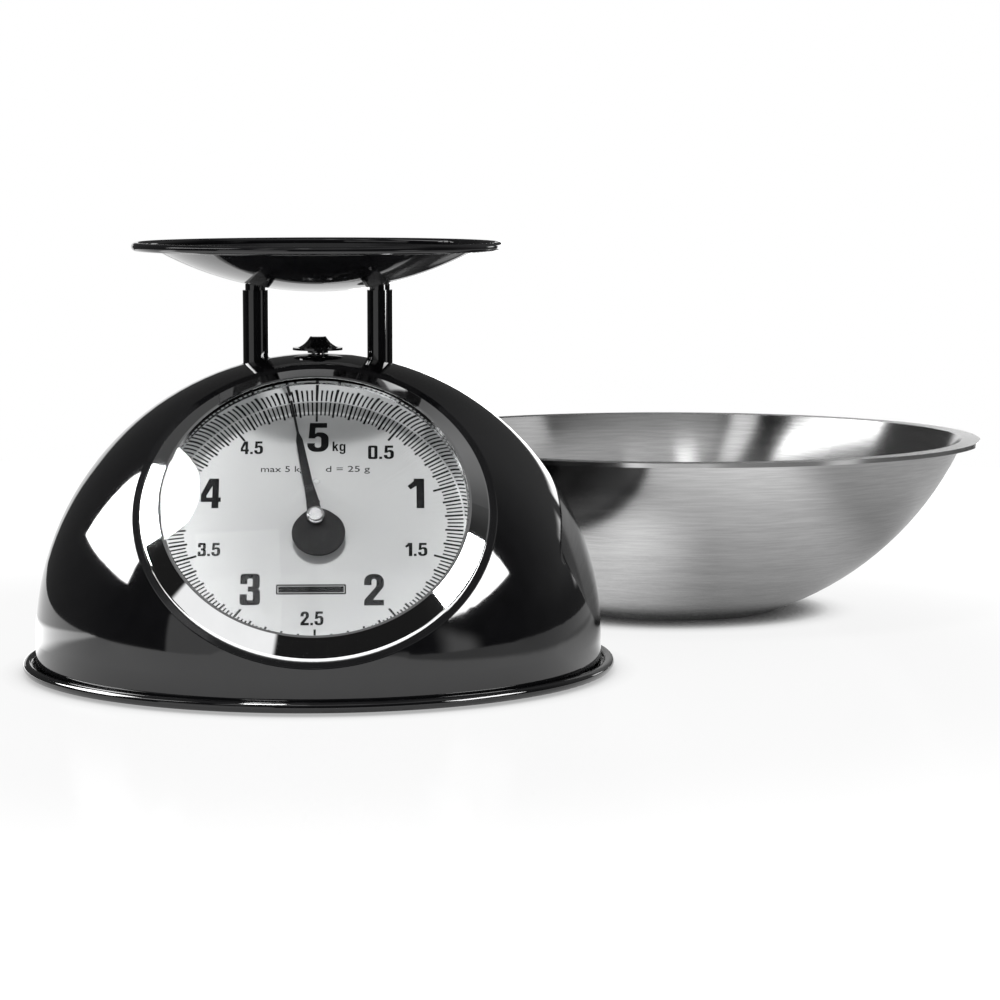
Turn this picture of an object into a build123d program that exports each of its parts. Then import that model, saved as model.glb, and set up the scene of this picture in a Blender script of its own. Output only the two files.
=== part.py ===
from build123d import *
import os
from math import acos, asin, cos, degrees, hypot, pi, radians, sin, sqrt, tan

# Mechanical kitchen scale, millimetres. Origin on the table under the middle of the dome,
# +Z up, the dial faces -Y and +X is to the right of someone who reads the dial.

# Fits
RUN_FIT = 0.05            # radial clearance of a shaft in its bore
SEAT_GAP = 0.02           # gap where a rounded face rests on another
MOVING_GAP = 0.5          # radial room for a post in a hole it only passes through
SHEET = 1.5               # steel sheet of the frame parts

# Dome housing
DOME_RADIUS = 97.5
DOME_CENTER_Z = 11.5
SHELL_WALL = 1.0
BEAD_OUTER_RADIUS = 102.0
BEAD_RADIUS = 1.8
SHELL_BOTTOM_Z = 1.0
DIAL_TILT = 39.5          # elevation of the dial's normal
OPENING_RADIUS = 59.5     # where the dial opening cuts the outside of the dome
LIP_HOLE_RADIUS = 56.4
LIP_ROUND = 0.6           # rounding of the opening's outer edge

# Base
FOOT_HEIGHT = 1.4
FOOT_RADIUS = 8.0
FOOT_STEM_RADIUS = 2.6
FOOT_HEAD_RADIUS = 4.0
FOOT_HEAD_HEIGHT = 1.2
FOOT_CIRCLE_RADIUS = 78.0
FOOT_COUNT = 4
PLATE_THICKNESS = 1.2
PLATE_EDGE_GAP = 0.6
LUG_COUNT = 3
LUG_WIDTH_ANGLE = 14.0
LUG_HEIGHT = 7.0
LUG_DEPTH = 11.0
LUG_SHEET = 1.2
SCREW_RADIUS = 1.5        # M3 screws
SCREW_HEAD_RADIUS = 2.75
SCREW_HEAD_HEIGHT = 1.6
FLAT_HEAD_RADIUS = 2.6    # countersunk heads, sunk flush in the base plate

# Dial window, levels measured along the dial's normal from the plane of the opening
BEZEL_OUTER_RADIUS = 57.3
BEZEL_INNER_RADIUS = 50.3
BEZEL_SHEET = 0.8
BEZEL_RISE = 5.3
BEZEL_EDGE_HEIGHT = 0.95   # straight outer wall below the sloping face
BEZEL_EDGE_ROUND = 1.7
BEZEL_COLLAR_DEPTH = 2.6
BEZEL_TAB_COUNT = 4
BEZEL_TAB_ANGLE = 16.0
BEZEL_TAB_REACH = 1.6
LENS_THICKNESS = 1.4
LENS_CROWN = 1.6
LENS_RIM_DEPTH = 3.4      # from the lens's edge down to the foot of its moulded rim
LENS_LEDGE = 0.6          # width of the step the rim stands on
BEZEL_FOOT_RADIUS = 48.9  # inside of the bezel's flared wall, where it meets the dial
DIAL_DEPTH = 7.1
DIAL_RADIUS = 54.5
DIAL_SHEET = 0.6
DIAL_HOLE_RADIUS = 2.4

# Pointer
POINTER_REST_ANGLE = 10.3  # degrees to the left of the top mark, as it stands unloaded
POINTER_LENGTH = 48.0
POINTER_BASE_WIDTH = 5.0
POINTER_WAIST_WIDTH = 3.1
POINTER_WAIST_AT = 13.0
POINTER_NECK_WIDTH = 2.3
POINTER_NECK_AT = 31.5
POINTER_STEP = 3.0        # length of the taper from the neck to the fine tip
POINTER_TIP_WIDTH = 0.8
POINTER_THICKNESS = 0.6
POINTER_ABOVE_DIAL = 2.7
BALANCE_RADIUS = 8.75
BALANCE_OFFSET = 5.7
BOSS_RADIUS = 3.0
BOSS_HEIGHT = 2.2

# Rack and pinion
PINION_TEETH = 10
MODULE = 0.32
PRESSURE_ANGLE = 25.0
ADDENDUM = 0.8 * MODULE
DEDENDUM = 1.05 * MODULE
BACKLASH = 0.06
RACK_THICKNESS = 3.0
RACK_BACK = 3.2           # depth of the bar behind the teeth
RACK_SPARE_TEETH = 3
SHAFT_RADIUS = 1.0
BUSH_RADIUS = 2.4
BUSH_FLANGE_RADIUS = 3.2
BUSH_FLANGE = 0.8
END_PLAY = 0.2

# Movement plates, behind the dial
DIAL_PILLAR_LENGTH = 3.1
MOVEMENT_SHEET = 1.2
MOVEMENT_GAP = 20.0       # between the front and rear plates
FRONT_PLATE_HALF_WIDTH = 32.0
FRONT_PLATE_HALF_HEIGHT = 12.0
REAR_PLATE_HALF_WIDTH = 15.0
REAR_PLATE_TOP = 10.0
REAR_PLATE_BOTTOM = -14.0
PILLAR_RADIUS = 2.0
PILLAR_INSET = 3.0

# Tray and posts
TRAY_RADIUS = 63.5
TRAY_RIM_Z = 145.8
TRAY_RIM_RADIUS = 1.45
TRAY_DISH_RADIUS = 114.0
TRAY_DISH_EDGE = 54.9
TRAY_WALL = 1.0
POST_SPACING = 42.6
POST_RADIUS = 4.4
POST_WALL = 1.6
POST_SHOULDER_Z = 130.8   # flat top of the tube; a narrower neck goes on to the dish
POST_NECK_RADIUS = 3.5
STUD_RADIUS = 2.0
STUD_BELOW_FLANGE = 4.5
NUT_FLATS = 7.0
NUT_HEIGHT = 3.2

# Zero knob and screw
KNOB_GAP = 0.25
KNOB_HUB_RADIUS = 3.6
KNOB_HUB_HEIGHT = 1.0
KNOB_BRIM_RADIUS = 8.7
KNOB_BRIM = 0.8
KNOB_SHOULDER_RADIUS = 6.9
KNOB_WAIST_RADIUS = 4.3
KNOB_WAIST_HEIGHT = 1.7   # of the hollow of the bell above the brim
KNOB_TOP_RADIUS = 2.75
KNOB_BELL_HEIGHT = 3.75
KNOB_FLUTES = 18
KNOB_FLUTE_RADIUS = 0.45
ZERO_SCREW_RADIUS = 2.0
ZERO_COLLAR_RADIUS = 4.0
ZERO_COLLAR_HEIGHT = 1.5

# Chassis
CHASSIS_HALF_WIDTH = 32.0
BRIDGE_TOP_Z = 95.0
BRIDGE_HALF_DEPTH = 14.0
CHASSIS_FRONT_Y = -16.0
CHASSIS_BACK_MARGIN = 5.4  # from the pivot pins to the rear edge
CHASSIS_FOOT = 12.0
CHASSIS_TAB = 10.0
CHASSIS_SCREW_INSET = 8.0
WINDOW_FRONT_Y = -4.0
WINDOW_BACK_Y = 32.0
WINDOW_LOW_Z = 16.0
WINDOW_HIGH_Z = 60.0
WINDOW_CORNER = 5.0

# Carrier, the frame that sinks with the tray
CARRIER_HALF_WIDTH = 27.0
CARRIER_FRONT_Y = -9.0
CARRIER_BACK_Y = 12.0
CARRIER_TOP_Z = 87.5
CARRIER_BOTTOM_Z = 28.5
CARRIER_EAR = 11.0
WEB_LOW_Z = 54.0
WEB_HIGH_Z = 66.0
RACK_FOOT_WIDTH = 10.0
RACK_ARM_SHEET = 1.6
RACK_SCREW_INSET = 3.3

# Parallel levers
LEVER_LENGTH = 38.0
LEVER_PIN_Y = 8.0
UPPER_PIVOT_Z = 66.0
LOWER_PIVOT_Z = 40.0
LEVER_HALF_WIDTH = 24.2
LEVER_WIDTH = 9.0
LEVER_WEB = 9.0
LEVER_SLOT_PLAY = 1.6
LEVER_SLOT_GAP = 0.2
PIN_RADIUS = 1.5

# Main spring and its hanger
SPRING_WIRE = 1.25
SPRING_MEAN_RADIUS = 4.5
SPRING_TURNS = 9
SPRING_NECK = 4.4         # height of the wire's run from the coil to the hook
HANGER_PIN_Z = 72.5
HANGER_BOSS_LOW_Z = 80.0
HANGER_BOSS_HEIGHT = 8.0
HANGER_HALF_WIDTH = 5.0
HANGER_HALF_DEPTH = 4.5
HANGER_CHEEK = 1.5
SPRING_PIN_Z = 35.0

# Bowl, standing beside the scale
BOWL_BEARING = 47.0       # from +X, seen from above
BOWL_OVERLAP = 14.1       # how far the bowl's rim reaches in over the dome's skirt
BOWL_RIM_RADIUS = 117.5
BOWL_RIM_Z = 67.7
BOWL_FLANGE = 6.7
BOWL_BASE_RADIUS = 37.0
BOWL_WALL = 0.7
BOWL_HEM = 1.6

# Levels that follow from the driving dimensions
APEX_Z = DOME_CENTER_Z + DOME_RADIUS
OPENING_LEVEL = sqrt(DOME_RADIUS**2 - OPENING_RADIUS**2)
DIAL_TOP = OPENING_LEVEL - DIAL_DEPTH
DIAL_BACK = DIAL_TOP - DIAL_SHEET
FRONT_PLATE_TOP = DIAL_BACK - DIAL_PILLAR_LENGTH
FRONT_PLATE_BACK = FRONT_PLATE_TOP - MOVEMENT_SHEET
REAR_PLATE_TOP_LEVEL = FRONT_PLATE_BACK - MOVEMENT_GAP
REAR_PLATE_BACK = REAR_PLATE_TOP_LEVEL - MOVEMENT_SHEET
PLATE_BOTTOM_Z = FOOT_HEIGHT
PLATE_TOP_Z = PLATE_BOTTOM_Z + PLATE_THICKNESS
SKIRT_INNER_RADIUS = DOME_RADIUS - SHELL_WALL
PITCH_RADIUS = MODULE * PINION_TEETH / 2
TOOTH_PITCH = pi * MODULE
FULL_TURN_TRAVEL = 2 * pi * PITCH_RADIUS / cos(radians(DIAL_TILT))
TRAY_SPHERE_Z = TRAY_RIM_Z - TRAY_RIM_RADIUS + sqrt(TRAY_DISH_RADIUS**2 - TRAY_DISH_EDGE**2)
BRIDGE_BOTTOM_Z = BRIDGE_TOP_Z - SHEET
POST_X = POST_SPACING / 2
LEVER_PIVOT_Y = LEVER_PIN_Y + LEVER_LENGTH
LEVER_REST_RISE = FULL_TURN_TRAVEL / 2
KNOB_BOTTOM_Z = APEX_Z + KNOB_GAP
KNOB_TOP_Z = KNOB_BOTTOM_Z + KNOB_HUB_HEIGHT + KNOB_BRIM + KNOB_BELL_HEIGHT
HOOK_RADIUS = PIN_RADIUS + SPRING_WIRE / 2 + RUN_FIT
BOWL_DISTANCE = DOME_RADIUS + BOWL_RIM_RADIUS - BOWL_OVERLAP
EPS = 0.5                 # overrun of a cutting tool past the face it cuts

# The dial's own frame: x to the right, y up the dial, z out of it along its normal
_tilt = radians(DIAL_TILT)
DIAL_NORMAL = (0, -cos(_tilt), sin(_tilt))
DIAL_FRAME = Plane(origin=(0, 0, DOME_CENTER_Z), x_dir=(1, 0, 0), z_dir=DIAL_NORMAL)


def side_point(level, height):
    """Y and Z of a point at a level along the dial's normal and a height up the dial."""
    return (
        -cos(_tilt) * level + sin(_tilt) * height,
        DOME_CENTER_Z + sin(_tilt) * level + cos(_tilt) * height,
    )


def turned(*edges):
    """Solid of revolution about Z from the edges of a closed (radius, z) outline."""
    return revolve(Plane.XZ * make_face(Curve() + list(edges)), axis=Axis.Z)


def turned_outline(points):
    """Solid of revolution about Z from the corners of a straight-sided (radius, z) outline."""
    return revolve(Plane.XZ * make_face(Polyline(*points, close=True)), axis=Axis.Z)


def rod(start_z, end_z, radius):
    """Upright cylinder between two heights."""
    upright = (Align.CENTER, Align.CENTER, Align.MIN)
    return Pos(0, 0, start_z) * Cylinder(radius, end_z - start_z, align=upright)


def cross_rod(half_length, radius, y, z):
    """Cylinder along X, centred on the middle plane."""
    return Pos(0, y, z) * Rot(0, 90, 0) * Cylinder(radius, 2 * half_length)


def block(x0, x1, y0, y1, z0, z1):
    """Box between opposite corners."""
    return Pos((x0 + x1) / 2, (y0 + y1) / 2, (z0 + z1) / 2) * Box(x1 - x0, y1 - y0, z1 - z0)


def side_plate(points, x0, x1):
    """Plate normal to X with a (y, z) outline."""
    face = Plane.YZ * make_face(Polyline(*points, close=True))
    return Pos(x0, 0, 0) * extrude(face, amount=x1 - x0, dir=(1, 0, 0))


def mirrored(solid):
    """The solid and its mirror image across the middle plane."""
    return Compound(children=[solid, mirror(solid, about=Plane.YZ)])


def polar(count, radius, start):
    """Places evenly spread round Z."""
    return [Rot(0, 0, start + 360 * k / count) * Pos(radius, 0, 0) for k in range(count)]


def fused(first, *others):
    """One solid from pieces that overlap or share faces."""
    solid = first
    for other in others:
        solid = solid + other
    return solid


def flat_screw(under_z, length):
    """Countersunk screw with its flat head at under_z, pointing up."""
    sink = FLAT_HEAD_RADIUS - SCREW_RADIUS
    return turned_outline([
        (0, under_z), (FLAT_HEAD_RADIUS, under_z), (SCREW_RADIUS, under_z + sink),
        (SCREW_RADIUS, under_z + length), (0, under_z + length),
    ])


def pan_screw(seat_z, length):
    """Screw with a low head standing on seat_z and its shank going down."""
    head = rod(seat_z, seat_z + SCREW_HEAD_HEIGHT, SCREW_HEAD_RADIUS)
    head = fillet(head.edges().group_by(Axis.Z)[-1], SCREW_HEAD_HEIGHT / 2)
    return head + rod(seat_z - length, seat_z, SCREW_RADIUS)


# Where fasteners go
LUG_PLACES = polar(LUG_COUNT, SKIRT_INNER_RADIUS - LUG_DEPTH / 2, 90)
FOOT_PLACES = polar(FOOT_COUNT, FOOT_CIRCLE_RADIUS, 45)
CHASSIS_SCREW_X = CHASSIS_HALF_WIDTH - CHASSIS_FOOT / 2
CHASSIS_BACK_Y = LEVER_PIVOT_Y + CHASSIS_BACK_MARGIN
CHASSIS_SCREW_PLACES = [
    Pos(side * CHASSIS_SCREW_X, y, 0)
    for side in (-1, 1)
    for y in (CHASSIS_FRONT_Y + CHASSIS_SCREW_INSET, CHASSIS_BACK_Y - CHASSIS_SCREW_INSET)
]
DIAL_PILLAR_PLACES = [
    Pos(side * (REAR_PLATE_HALF_WIDTH + PILLAR_RADIUS * 2), height, 0)
    for side in (-1, 1)
    for height in (-FRONT_PLATE_HALF_HEIGHT / 2, FRONT_PLATE_HALF_HEIGHT / 2)
]
MOVEMENT_SCREW_PLACES = [
    Pos(side * (CHASSIS_HALF_WIDTH - CHASSIS_TAB / 2), height, 0)
    for side in (-1, 1)
    for height in (-FRONT_PLATE_HALF_HEIGHT / 2, FRONT_PLATE_HALF_HEIGHT / 2)
]
PILLAR_PLACES = [
    Pos(PILLAR_INSET - REAR_PLATE_HALF_WIDTH, REAR_PLATE_TOP - PILLAR_INSET, 0),
    Pos(PILLAR_INSET - REAR_PLATE_HALF_WIDTH, REAR_PLATE_BOTTOM + PILLAR_INSET, 0),
    Pos(REAR_PLATE_HALF_WIDTH - PILLAR_INSET, REAR_PLATE_BOTTOM + PILLAR_INSET, 0),
]


# Housing


def make_dome_shell():
    """Pressed dome: ball crown, skirt, foot flange with a rolled bead, dial opening with a lip."""
    bead_r = BEAD_OUTER_RADIUS - BEAD_RADIUS
    bead_z = SHELL_BOTTOM_Z + BEAD_RADIUS
    flange_top = SHELL_BOTTOM_Z + SHELL_WALL
    groove_r = bead_r - sqrt(BEAD_RADIUS**2 - (bead_z - flange_top)**2)
    slant = DOME_RADIUS / sqrt(2)
    outer = turned(
        Line((0, SHELL_BOTTOM_Z), (bead_r, SHELL_BOTTOM_Z)),
        ThreePointArc(
            (bead_r, SHELL_BOTTOM_Z), (BEAD_OUTER_RADIUS, bead_z), (bead_r, bead_z + BEAD_RADIUS)
        ),
        ThreePointArc(
            (bead_r, bead_z + BEAD_RADIUS),
            (bead_r - BEAD_RADIUS * cos(radians(30)), bead_z + BEAD_RADIUS / 2),
            (groove_r, flange_top),
        ),
        Line((groove_r, flange_top), (DOME_RADIUS, flange_top)),
        Line((DOME_RADIUS, flange_top), (DOME_RADIUS, DOME_CENTER_Z)),
        ThreePointArc((DOME_RADIUS, DOME_CENTER_Z), (slant, DOME_CENTER_Z + slant), (0, APEX_Z)),
        Line((0, APEX_Z), (0, SHELL_BOTTOM_Z)),
    )
    inner_slant = SKIRT_INNER_RADIUS / sqrt(2)
    inner = turned(
        Line((0, 0), (SKIRT_INNER_RADIUS, 0)),
        Line((SKIRT_INNER_RADIUS, 0), (SKIRT_INNER_RADIUS, DOME_CENTER_Z)),
        ThreePointArc(
            (SKIRT_INNER_RADIUS, DOME_CENTER_Z),
            (inner_slant, DOME_CENTER_Z + inner_slant),
            (0, DOME_CENTER_Z + SKIRT_INNER_RADIUS),
        ),
        Line((0, DOME_CENTER_Z + SKIRT_INNER_RADIUS), (0, 0)),
    )
    outer -= DIAL_FRAME * rod(OPENING_LEVEL, DOME_RADIUS + EPS, DOME_RADIUS)
    inner -= DIAL_FRAME * rod(OPENING_LEVEL - SHELL_WALL, DOME_RADIUS + EPS, DOME_RADIUS)
    shell = outer - inner
    shell -= DIAL_FRAME * rod(OPENING_LEVEL - 2 * SHELL_WALL, DOME_RADIUS, LIP_HOLE_RADIUS)
    circles = shell.edges().filter_by(GeomType.CIRCLE)
    shell = fillet(circles.filter_by(lambda e: abs(e.radius - OPENING_RADIUS) < RUN_FIT), LIP_ROUND)
    post_hole = rod(BRIDGE_TOP_Z, APEX_Z + EPS, POST_RADIUS + MOVING_GAP)
    for side in (-1, 1):
        shell -= Pos(side * POST_X, 0, 0) * post_hole
    return shell - rod(BRIDGE_TOP_Z, APEX_Z + EPS, ZERO_SCREW_RADIUS + MOVING_GAP)


def make_shell_lugs():
    """Bent lugs welded inside the skirt, for the screws that hold the base plate."""
    wall = SKIRT_INNER_RADIUS - LUG_SHEET
    profile = Plane.XZ * make_face(Polyline(
        (SKIRT_INNER_RADIUS - LUG_DEPTH, PLATE_TOP_Z), (SKIRT_INNER_RADIUS, PLATE_TOP_Z),
        (SKIRT_INNER_RADIUS, PLATE_TOP_Z + LUG_HEIGHT), (wall, PLATE_TOP_Z + LUG_HEIGHT),
        (wall, PLATE_TOP_Z + LUG_SHEET), (SKIRT_INNER_RADIUS - LUG_DEPTH, PLATE_TOP_Z + LUG_SHEET),
        close=True,
    ))
    lug = Rot(0, 0, -LUG_WIDTH_ANGLE / 2) * revolve(profile, axis=Axis.Z, revolution_arc=LUG_WIDTH_ANGLE)
    hole = rod(0, PLATE_TOP_Z + LUG_HEIGHT, SCREW_RADIUS)
    lug -= Pos(SKIRT_INNER_RADIUS - LUG_DEPTH / 2, 0, 0) * hole
    return Compound(children=[Rot(0, 0, 90 + 360 * k / LUG_COUNT) * lug for k in range(LUG_COUNT)])


def make_base_plate():
    """Round plate that closes the bottom, with countersunk screw holes and holes for the feet."""
    radius = SKIRT_INNER_RADIUS - PLATE_EDGE_GAP
    plate = rod(PLATE_BOTTOM_Z, PLATE_TOP_Z, radius)
    sink = FLAT_HEAD_RADIUS - SCREW_RADIUS
    seat = turned_outline([
        (0, PLATE_BOTTOM_Z - EPS), (FLAT_HEAD_RADIUS, PLATE_BOTTOM_Z - EPS),
        (FLAT_HEAD_RADIUS, PLATE_BOTTOM_Z), (SCREW_RADIUS, PLATE_BOTTOM_Z + sink),
        (SCREW_RADIUS, PLATE_TOP_Z + EPS), (0, PLATE_TOP_Z + EPS),
    ])
    for place in LUG_PLACES + CHASSIS_SCREW_PLACES:
        plate -= place * seat
    for place in FOOT_PLACES:
        plate -= place * rod(PLATE_BOTTOM_Z - EPS, PLATE_TOP_Z + EPS, FOOT_STEM_RADIUS)
    return plate


def make_rubber_feet():
    """Push-in feet: a pad under the plate, a stem through it and a head that holds it."""
    foot = turned_outline([
        (0, 0), (FOOT_RADIUS - FOOT_HEIGHT / 2, 0), (FOOT_RADIUS, FOOT_HEIGHT / 2),
        (FOOT_RADIUS, FOOT_HEIGHT), (FOOT_STEM_RADIUS, FOOT_HEIGHT), (FOOT_STEM_RADIUS, PLATE_TOP_Z),
        (FOOT_HEAD_RADIUS, PLATE_TOP_Z), (FOOT_STEM_RADIUS, PLATE_TOP_Z + FOOT_HEAD_HEIGHT),
        (0, PLATE_TOP_Z + FOOT_HEAD_HEIGHT),
    ])
    return Compound(children=[place * foot for place in FOOT_PLACES])


def make_base_screws():
    """Screws up through the base plate into the shell's lugs."""
    screw = flat_screw(PLATE_BOTTOM_Z, PLATE_THICKNESS + 2 * LUG_SHEET)
    return Compound(children=[place * screw for place in LUG_PLACES])


def make_chassis_screws():
    """Screws up through the base plate into the chassis feet."""
    screw = flat_screw(PLATE_BOTTOM_Z, PLATE_THICKNESS + 2 * SHEET)
    return Compound(children=[place * screw for place in CHASSIS_SCREW_PLACES])


# Dial window


def make_bezel_ring():
    """Raised bezel: sloping face with a round edge, lens step, flared wall down to the dial, bent tabs."""
    top = OPENING_LEVEL + BEZEL_RISE
    edge_top = OPENING_LEVEL + BEZEL_EDGE_HEIGHT
    seat = top - LENS_RIM_DEPTH
    wall = BEZEL_INNER_RADIUS - LENS_LEDGE
    collar = LIP_HOLE_RADIUS - RUN_FIT
    collar_inner = collar - BEZEL_SHEET
    collar_end = OPENING_LEVEL - BEZEL_COLLAR_DEPTH
    ring = turned_outline([
        (BEZEL_OUTER_RADIUS, OPENING_LEVEL), (BEZEL_OUTER_RADIUS, edge_top),
        (BEZEL_INNER_RADIUS + BEZEL_SHEET, top), (BEZEL_INNER_RADIUS, top), (BEZEL_INNER_RADIUS, seat),
        (wall, seat), (BEZEL_FOOT_RADIUS, DIAL_TOP), (BEZEL_FOOT_RADIUS + BEZEL_SHEET, DIAL_TOP),
        (wall + BEZEL_SHEET, seat - BEZEL_SHEET), (collar_inner, OPENING_LEVEL),
        (collar_inner, collar_end), (collar, collar_end), (collar, OPENING_LEVEL),
    ])
    edge = Vector(0, 0, edge_top)
    circles = ring.edges().filter_by(GeomType.CIRCLE)
    ring = fillet(
        circles.filter_by(
            lambda e: (e.arc_center - edge).length < RUN_FIT and abs(e.radius - BEZEL_OUTER_RADIUS) < RUN_FIT
        ),
        BEZEL_EDGE_ROUND,
    )
    tab_top = OPENING_LEVEL - SHELL_WALL - SEAT_GAP
    tab_profile = Plane.XZ * make_face(Polyline(
        (collar_inner, collar_end), (collar + BEZEL_TAB_REACH, collar_end),
        (collar + BEZEL_TAB_REACH, tab_top), (collar_inner, tab_top), close=True,
    ))
    tab = revolve(tab_profile, axis=Axis.Z, revolution_arc=BEZEL_TAB_ANGLE)
    for k in range(BEZEL_TAB_COUNT):
        ring += Rot(0, 0, 360 * (k + 0.5) / BEZEL_TAB_COUNT - BEZEL_TAB_ANGLE / 2) * tab
    return DIAL_FRAME * ring


def make_dial_lens():
    """Clear window with a slight crown and a rim that stands on the bezel's step."""
    top = OPENING_LEVEL + BEZEL_RISE
    radius = BEZEL_INNER_RADIUS - RUN_FIT
    rim = BEZEL_INNER_RADIUS - LENS_LEDGE
    foot = top - LENS_RIM_DEPTH
    ball = (radius**2 + LENS_CROWN**2) / (2 * LENS_CROWN)

    def crown(at, depth):
        """A point of the crowned faces, at a radius and a depth below the upper one."""
        return at, top - depth + sqrt(ball**2 - at**2) - (ball - LENS_CROWN)

    lens = turned(
        Line(crown(0, LENS_THICKNESS), crown(0, 0)),
        ThreePointArc(crown(0, 0), crown(radius / 2, 0), crown(radius, 0)),
        Polyline(crown(radius, 0), (radius, foot), (rim, foot), crown(rim, LENS_THICKNESS)),
        ThreePointArc(crown(rim, LENS_THICKNESS), crown(rim / 2, LENS_THICKNESS), crown(0, LENS_THICKNESS)),
    )
    return DIAL_FRAME * lens


def make_dial_plate():
    """Flat dial disc with a hole for the pointer's shaft."""
    hole = rod(DIAL_BACK - EPS, DIAL_TOP + EPS, DIAL_HOLE_RADIUS)
    return DIAL_FRAME * (rod(DIAL_BACK, DIAL_TOP, DIAL_RADIUS) - hole)


def make_dial_pillars():
    """Spacers between the dial and the front movement plate."""
    pillar = rod(FRONT_PLATE_TOP, DIAL_BACK, PILLAR_RADIUS)
    return Compound(children=[DIAL_FRAME * place * pillar for place in DIAL_PILLAR_PLACES])


# Movement


def make_movement_plate_front():
    """Front plate, screwed to the chassis tabs; it carries the dial and the front bush."""
    plate = Pos(0, 0, (FRONT_PLATE_TOP + FRONT_PLATE_BACK) / 2) * Box(
        2 * FRONT_PLATE_HALF_WIDTH, 2 * FRONT_PLATE_HALF_HEIGHT, MOVEMENT_SHEET
    )
    plate = fillet(plate.edges().filter_by(Axis.Z), PILLAR_RADIUS)
    plate -= rod(FRONT_PLATE_BACK - EPS, FRONT_PLATE_TOP + EPS, BUSH_RADIUS)
    for place in MOVEMENT_SCREW_PLACES:
        plate -= place * rod(FRONT_PLATE_BACK - EPS, FRONT_PLATE_TOP + EPS, SCREW_RADIUS)
    return DIAL_FRAME * plate


def make_movement_plate_rear():
    """Rear plate with the rear bush, cut away where the rack's arm comes down past it."""
    notch_x = BUSH_FLANGE_RADIUS
    outline = Polyline(
        (-REAR_PLATE_HALF_WIDTH, REAR_PLATE_BOTTOM), (REAR_PLATE_HALF_WIDTH, REAR_PLATE_BOTTOM),
        (REAR_PLATE_HALF_WIDTH, REAR_PLATE_BOTTOM / 2), (notch_x, REAR_PLATE_BOTTOM / 2),
        (notch_x, REAR_PLATE_TOP), (-REAR_PLATE_HALF_WIDTH, REAR_PLATE_TOP), close=True,
    )
    plate = Pos(0, 0, REAR_PLATE_BACK) * extrude(make_face(outline), amount=MOVEMENT_SHEET)
    return DIAL_FRAME * (plate - rod(REAR_PLATE_BACK - EPS, REAR_PLATE_TOP_LEVEL + EPS, BUSH_RADIUS))


def make_movement_pillars():
    """Pillars that hold the two movement plates apart."""
    pillar = rod(REAR_PLATE_TOP_LEVEL, FRONT_PLATE_BACK, PILLAR_RADIUS)
    return Compound(children=[DIAL_FRAME * place * pillar for place in PILLAR_PLACES])


def make_movement_screws():
    """Screws that hold the front movement plate to the chassis tabs."""
    screw = pan_screw(FRONT_PLATE_TOP, MOVEMENT_SHEET + SHEET + SCREW_RADIUS)
    return Compound(children=[DIAL_FRAME * place * screw for place in MOVEMENT_SCREW_PLACES])


def make_shaft_bushes():
    """Flanged bushes that the pointer's shaft turns in."""
    bushes = []
    for low, high, flange_low in (
        (FRONT_PLATE_BACK, FRONT_PLATE_TOP, FRONT_PLATE_TOP),
        (REAR_PLATE_BACK, REAR_PLATE_TOP_LEVEL, REAR_PLATE_BACK - BUSH_FLANGE),
    ):
        bush = rod(low, high, BUSH_RADIUS) + rod(flange_low, flange_low + BUSH_FLANGE, BUSH_FLANGE_RADIUS)
        bush -= rod(low - 2 * BUSH_FLANGE, high + 2 * BUSH_FLANGE, SHAFT_RADIUS + RUN_FIT)
        bushes.append(DIAL_FRAME * bush)
    return Compound(children=bushes)


def involute(angle):
    """Involute function of a pressure angle in radians."""
    return tan(angle) - angle


def make_pinion():
    """Long ten-leaf pinion, with stub teeth on a wide pressure angle."""
    base = PITCH_RADIUS * cos(radians(PRESSURE_ANGLE))
    tip = PITCH_RADIUS + ADDENDUM
    root = PITCH_RADIUS - DEDENDUM
    half_pitch = (TOOTH_PITCH - BACKLASH) / 4 / PITCH_RADIUS
    at_base = half_pitch + involute(radians(PRESSURE_ANGLE))
    flank = [(root, at_base), (base, at_base)]
    for radius in (PITCH_RADIUS, (PITCH_RADIUS + tip) / 2, tip):
        flank.append((radius, at_base - involute(acos(base / radius))))
    points = []
    for tooth in range(PINION_TEETH):
        middle = 2 * pi * (tooth + 0.5) / PINION_TEETH
        side = [(r, middle - a) for r, a in flank] + [(r, middle + a) for r, a in reversed(flank)]
        points += [(r * cos(a), r * sin(a)) for r, a in side]
    outline = make_face(Polyline(*points, close=True))
    teeth = extrude(outline, amount=MOVEMENT_GAP - 2 * END_PLAY)
    teeth = Pos(0, 0, REAR_PLATE_TOP_LEVEL + END_PLAY) * teeth
    return DIAL_FRAME * (teeth - rod(REAR_PLATE_BACK, FRONT_PLATE_TOP, SHAFT_RADIUS))


def make_pointer_shaft():
    """Shaft from behind the rear bush to the pointer."""
    start = REAR_PLATE_BACK - 2 * BUSH_FLANGE
    return DIAL_FRAME * rod(start, DIAL_TOP + POINTER_ABOVE_DIAL + POINTER_THICKNESS, SHAFT_RADIUS)


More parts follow.
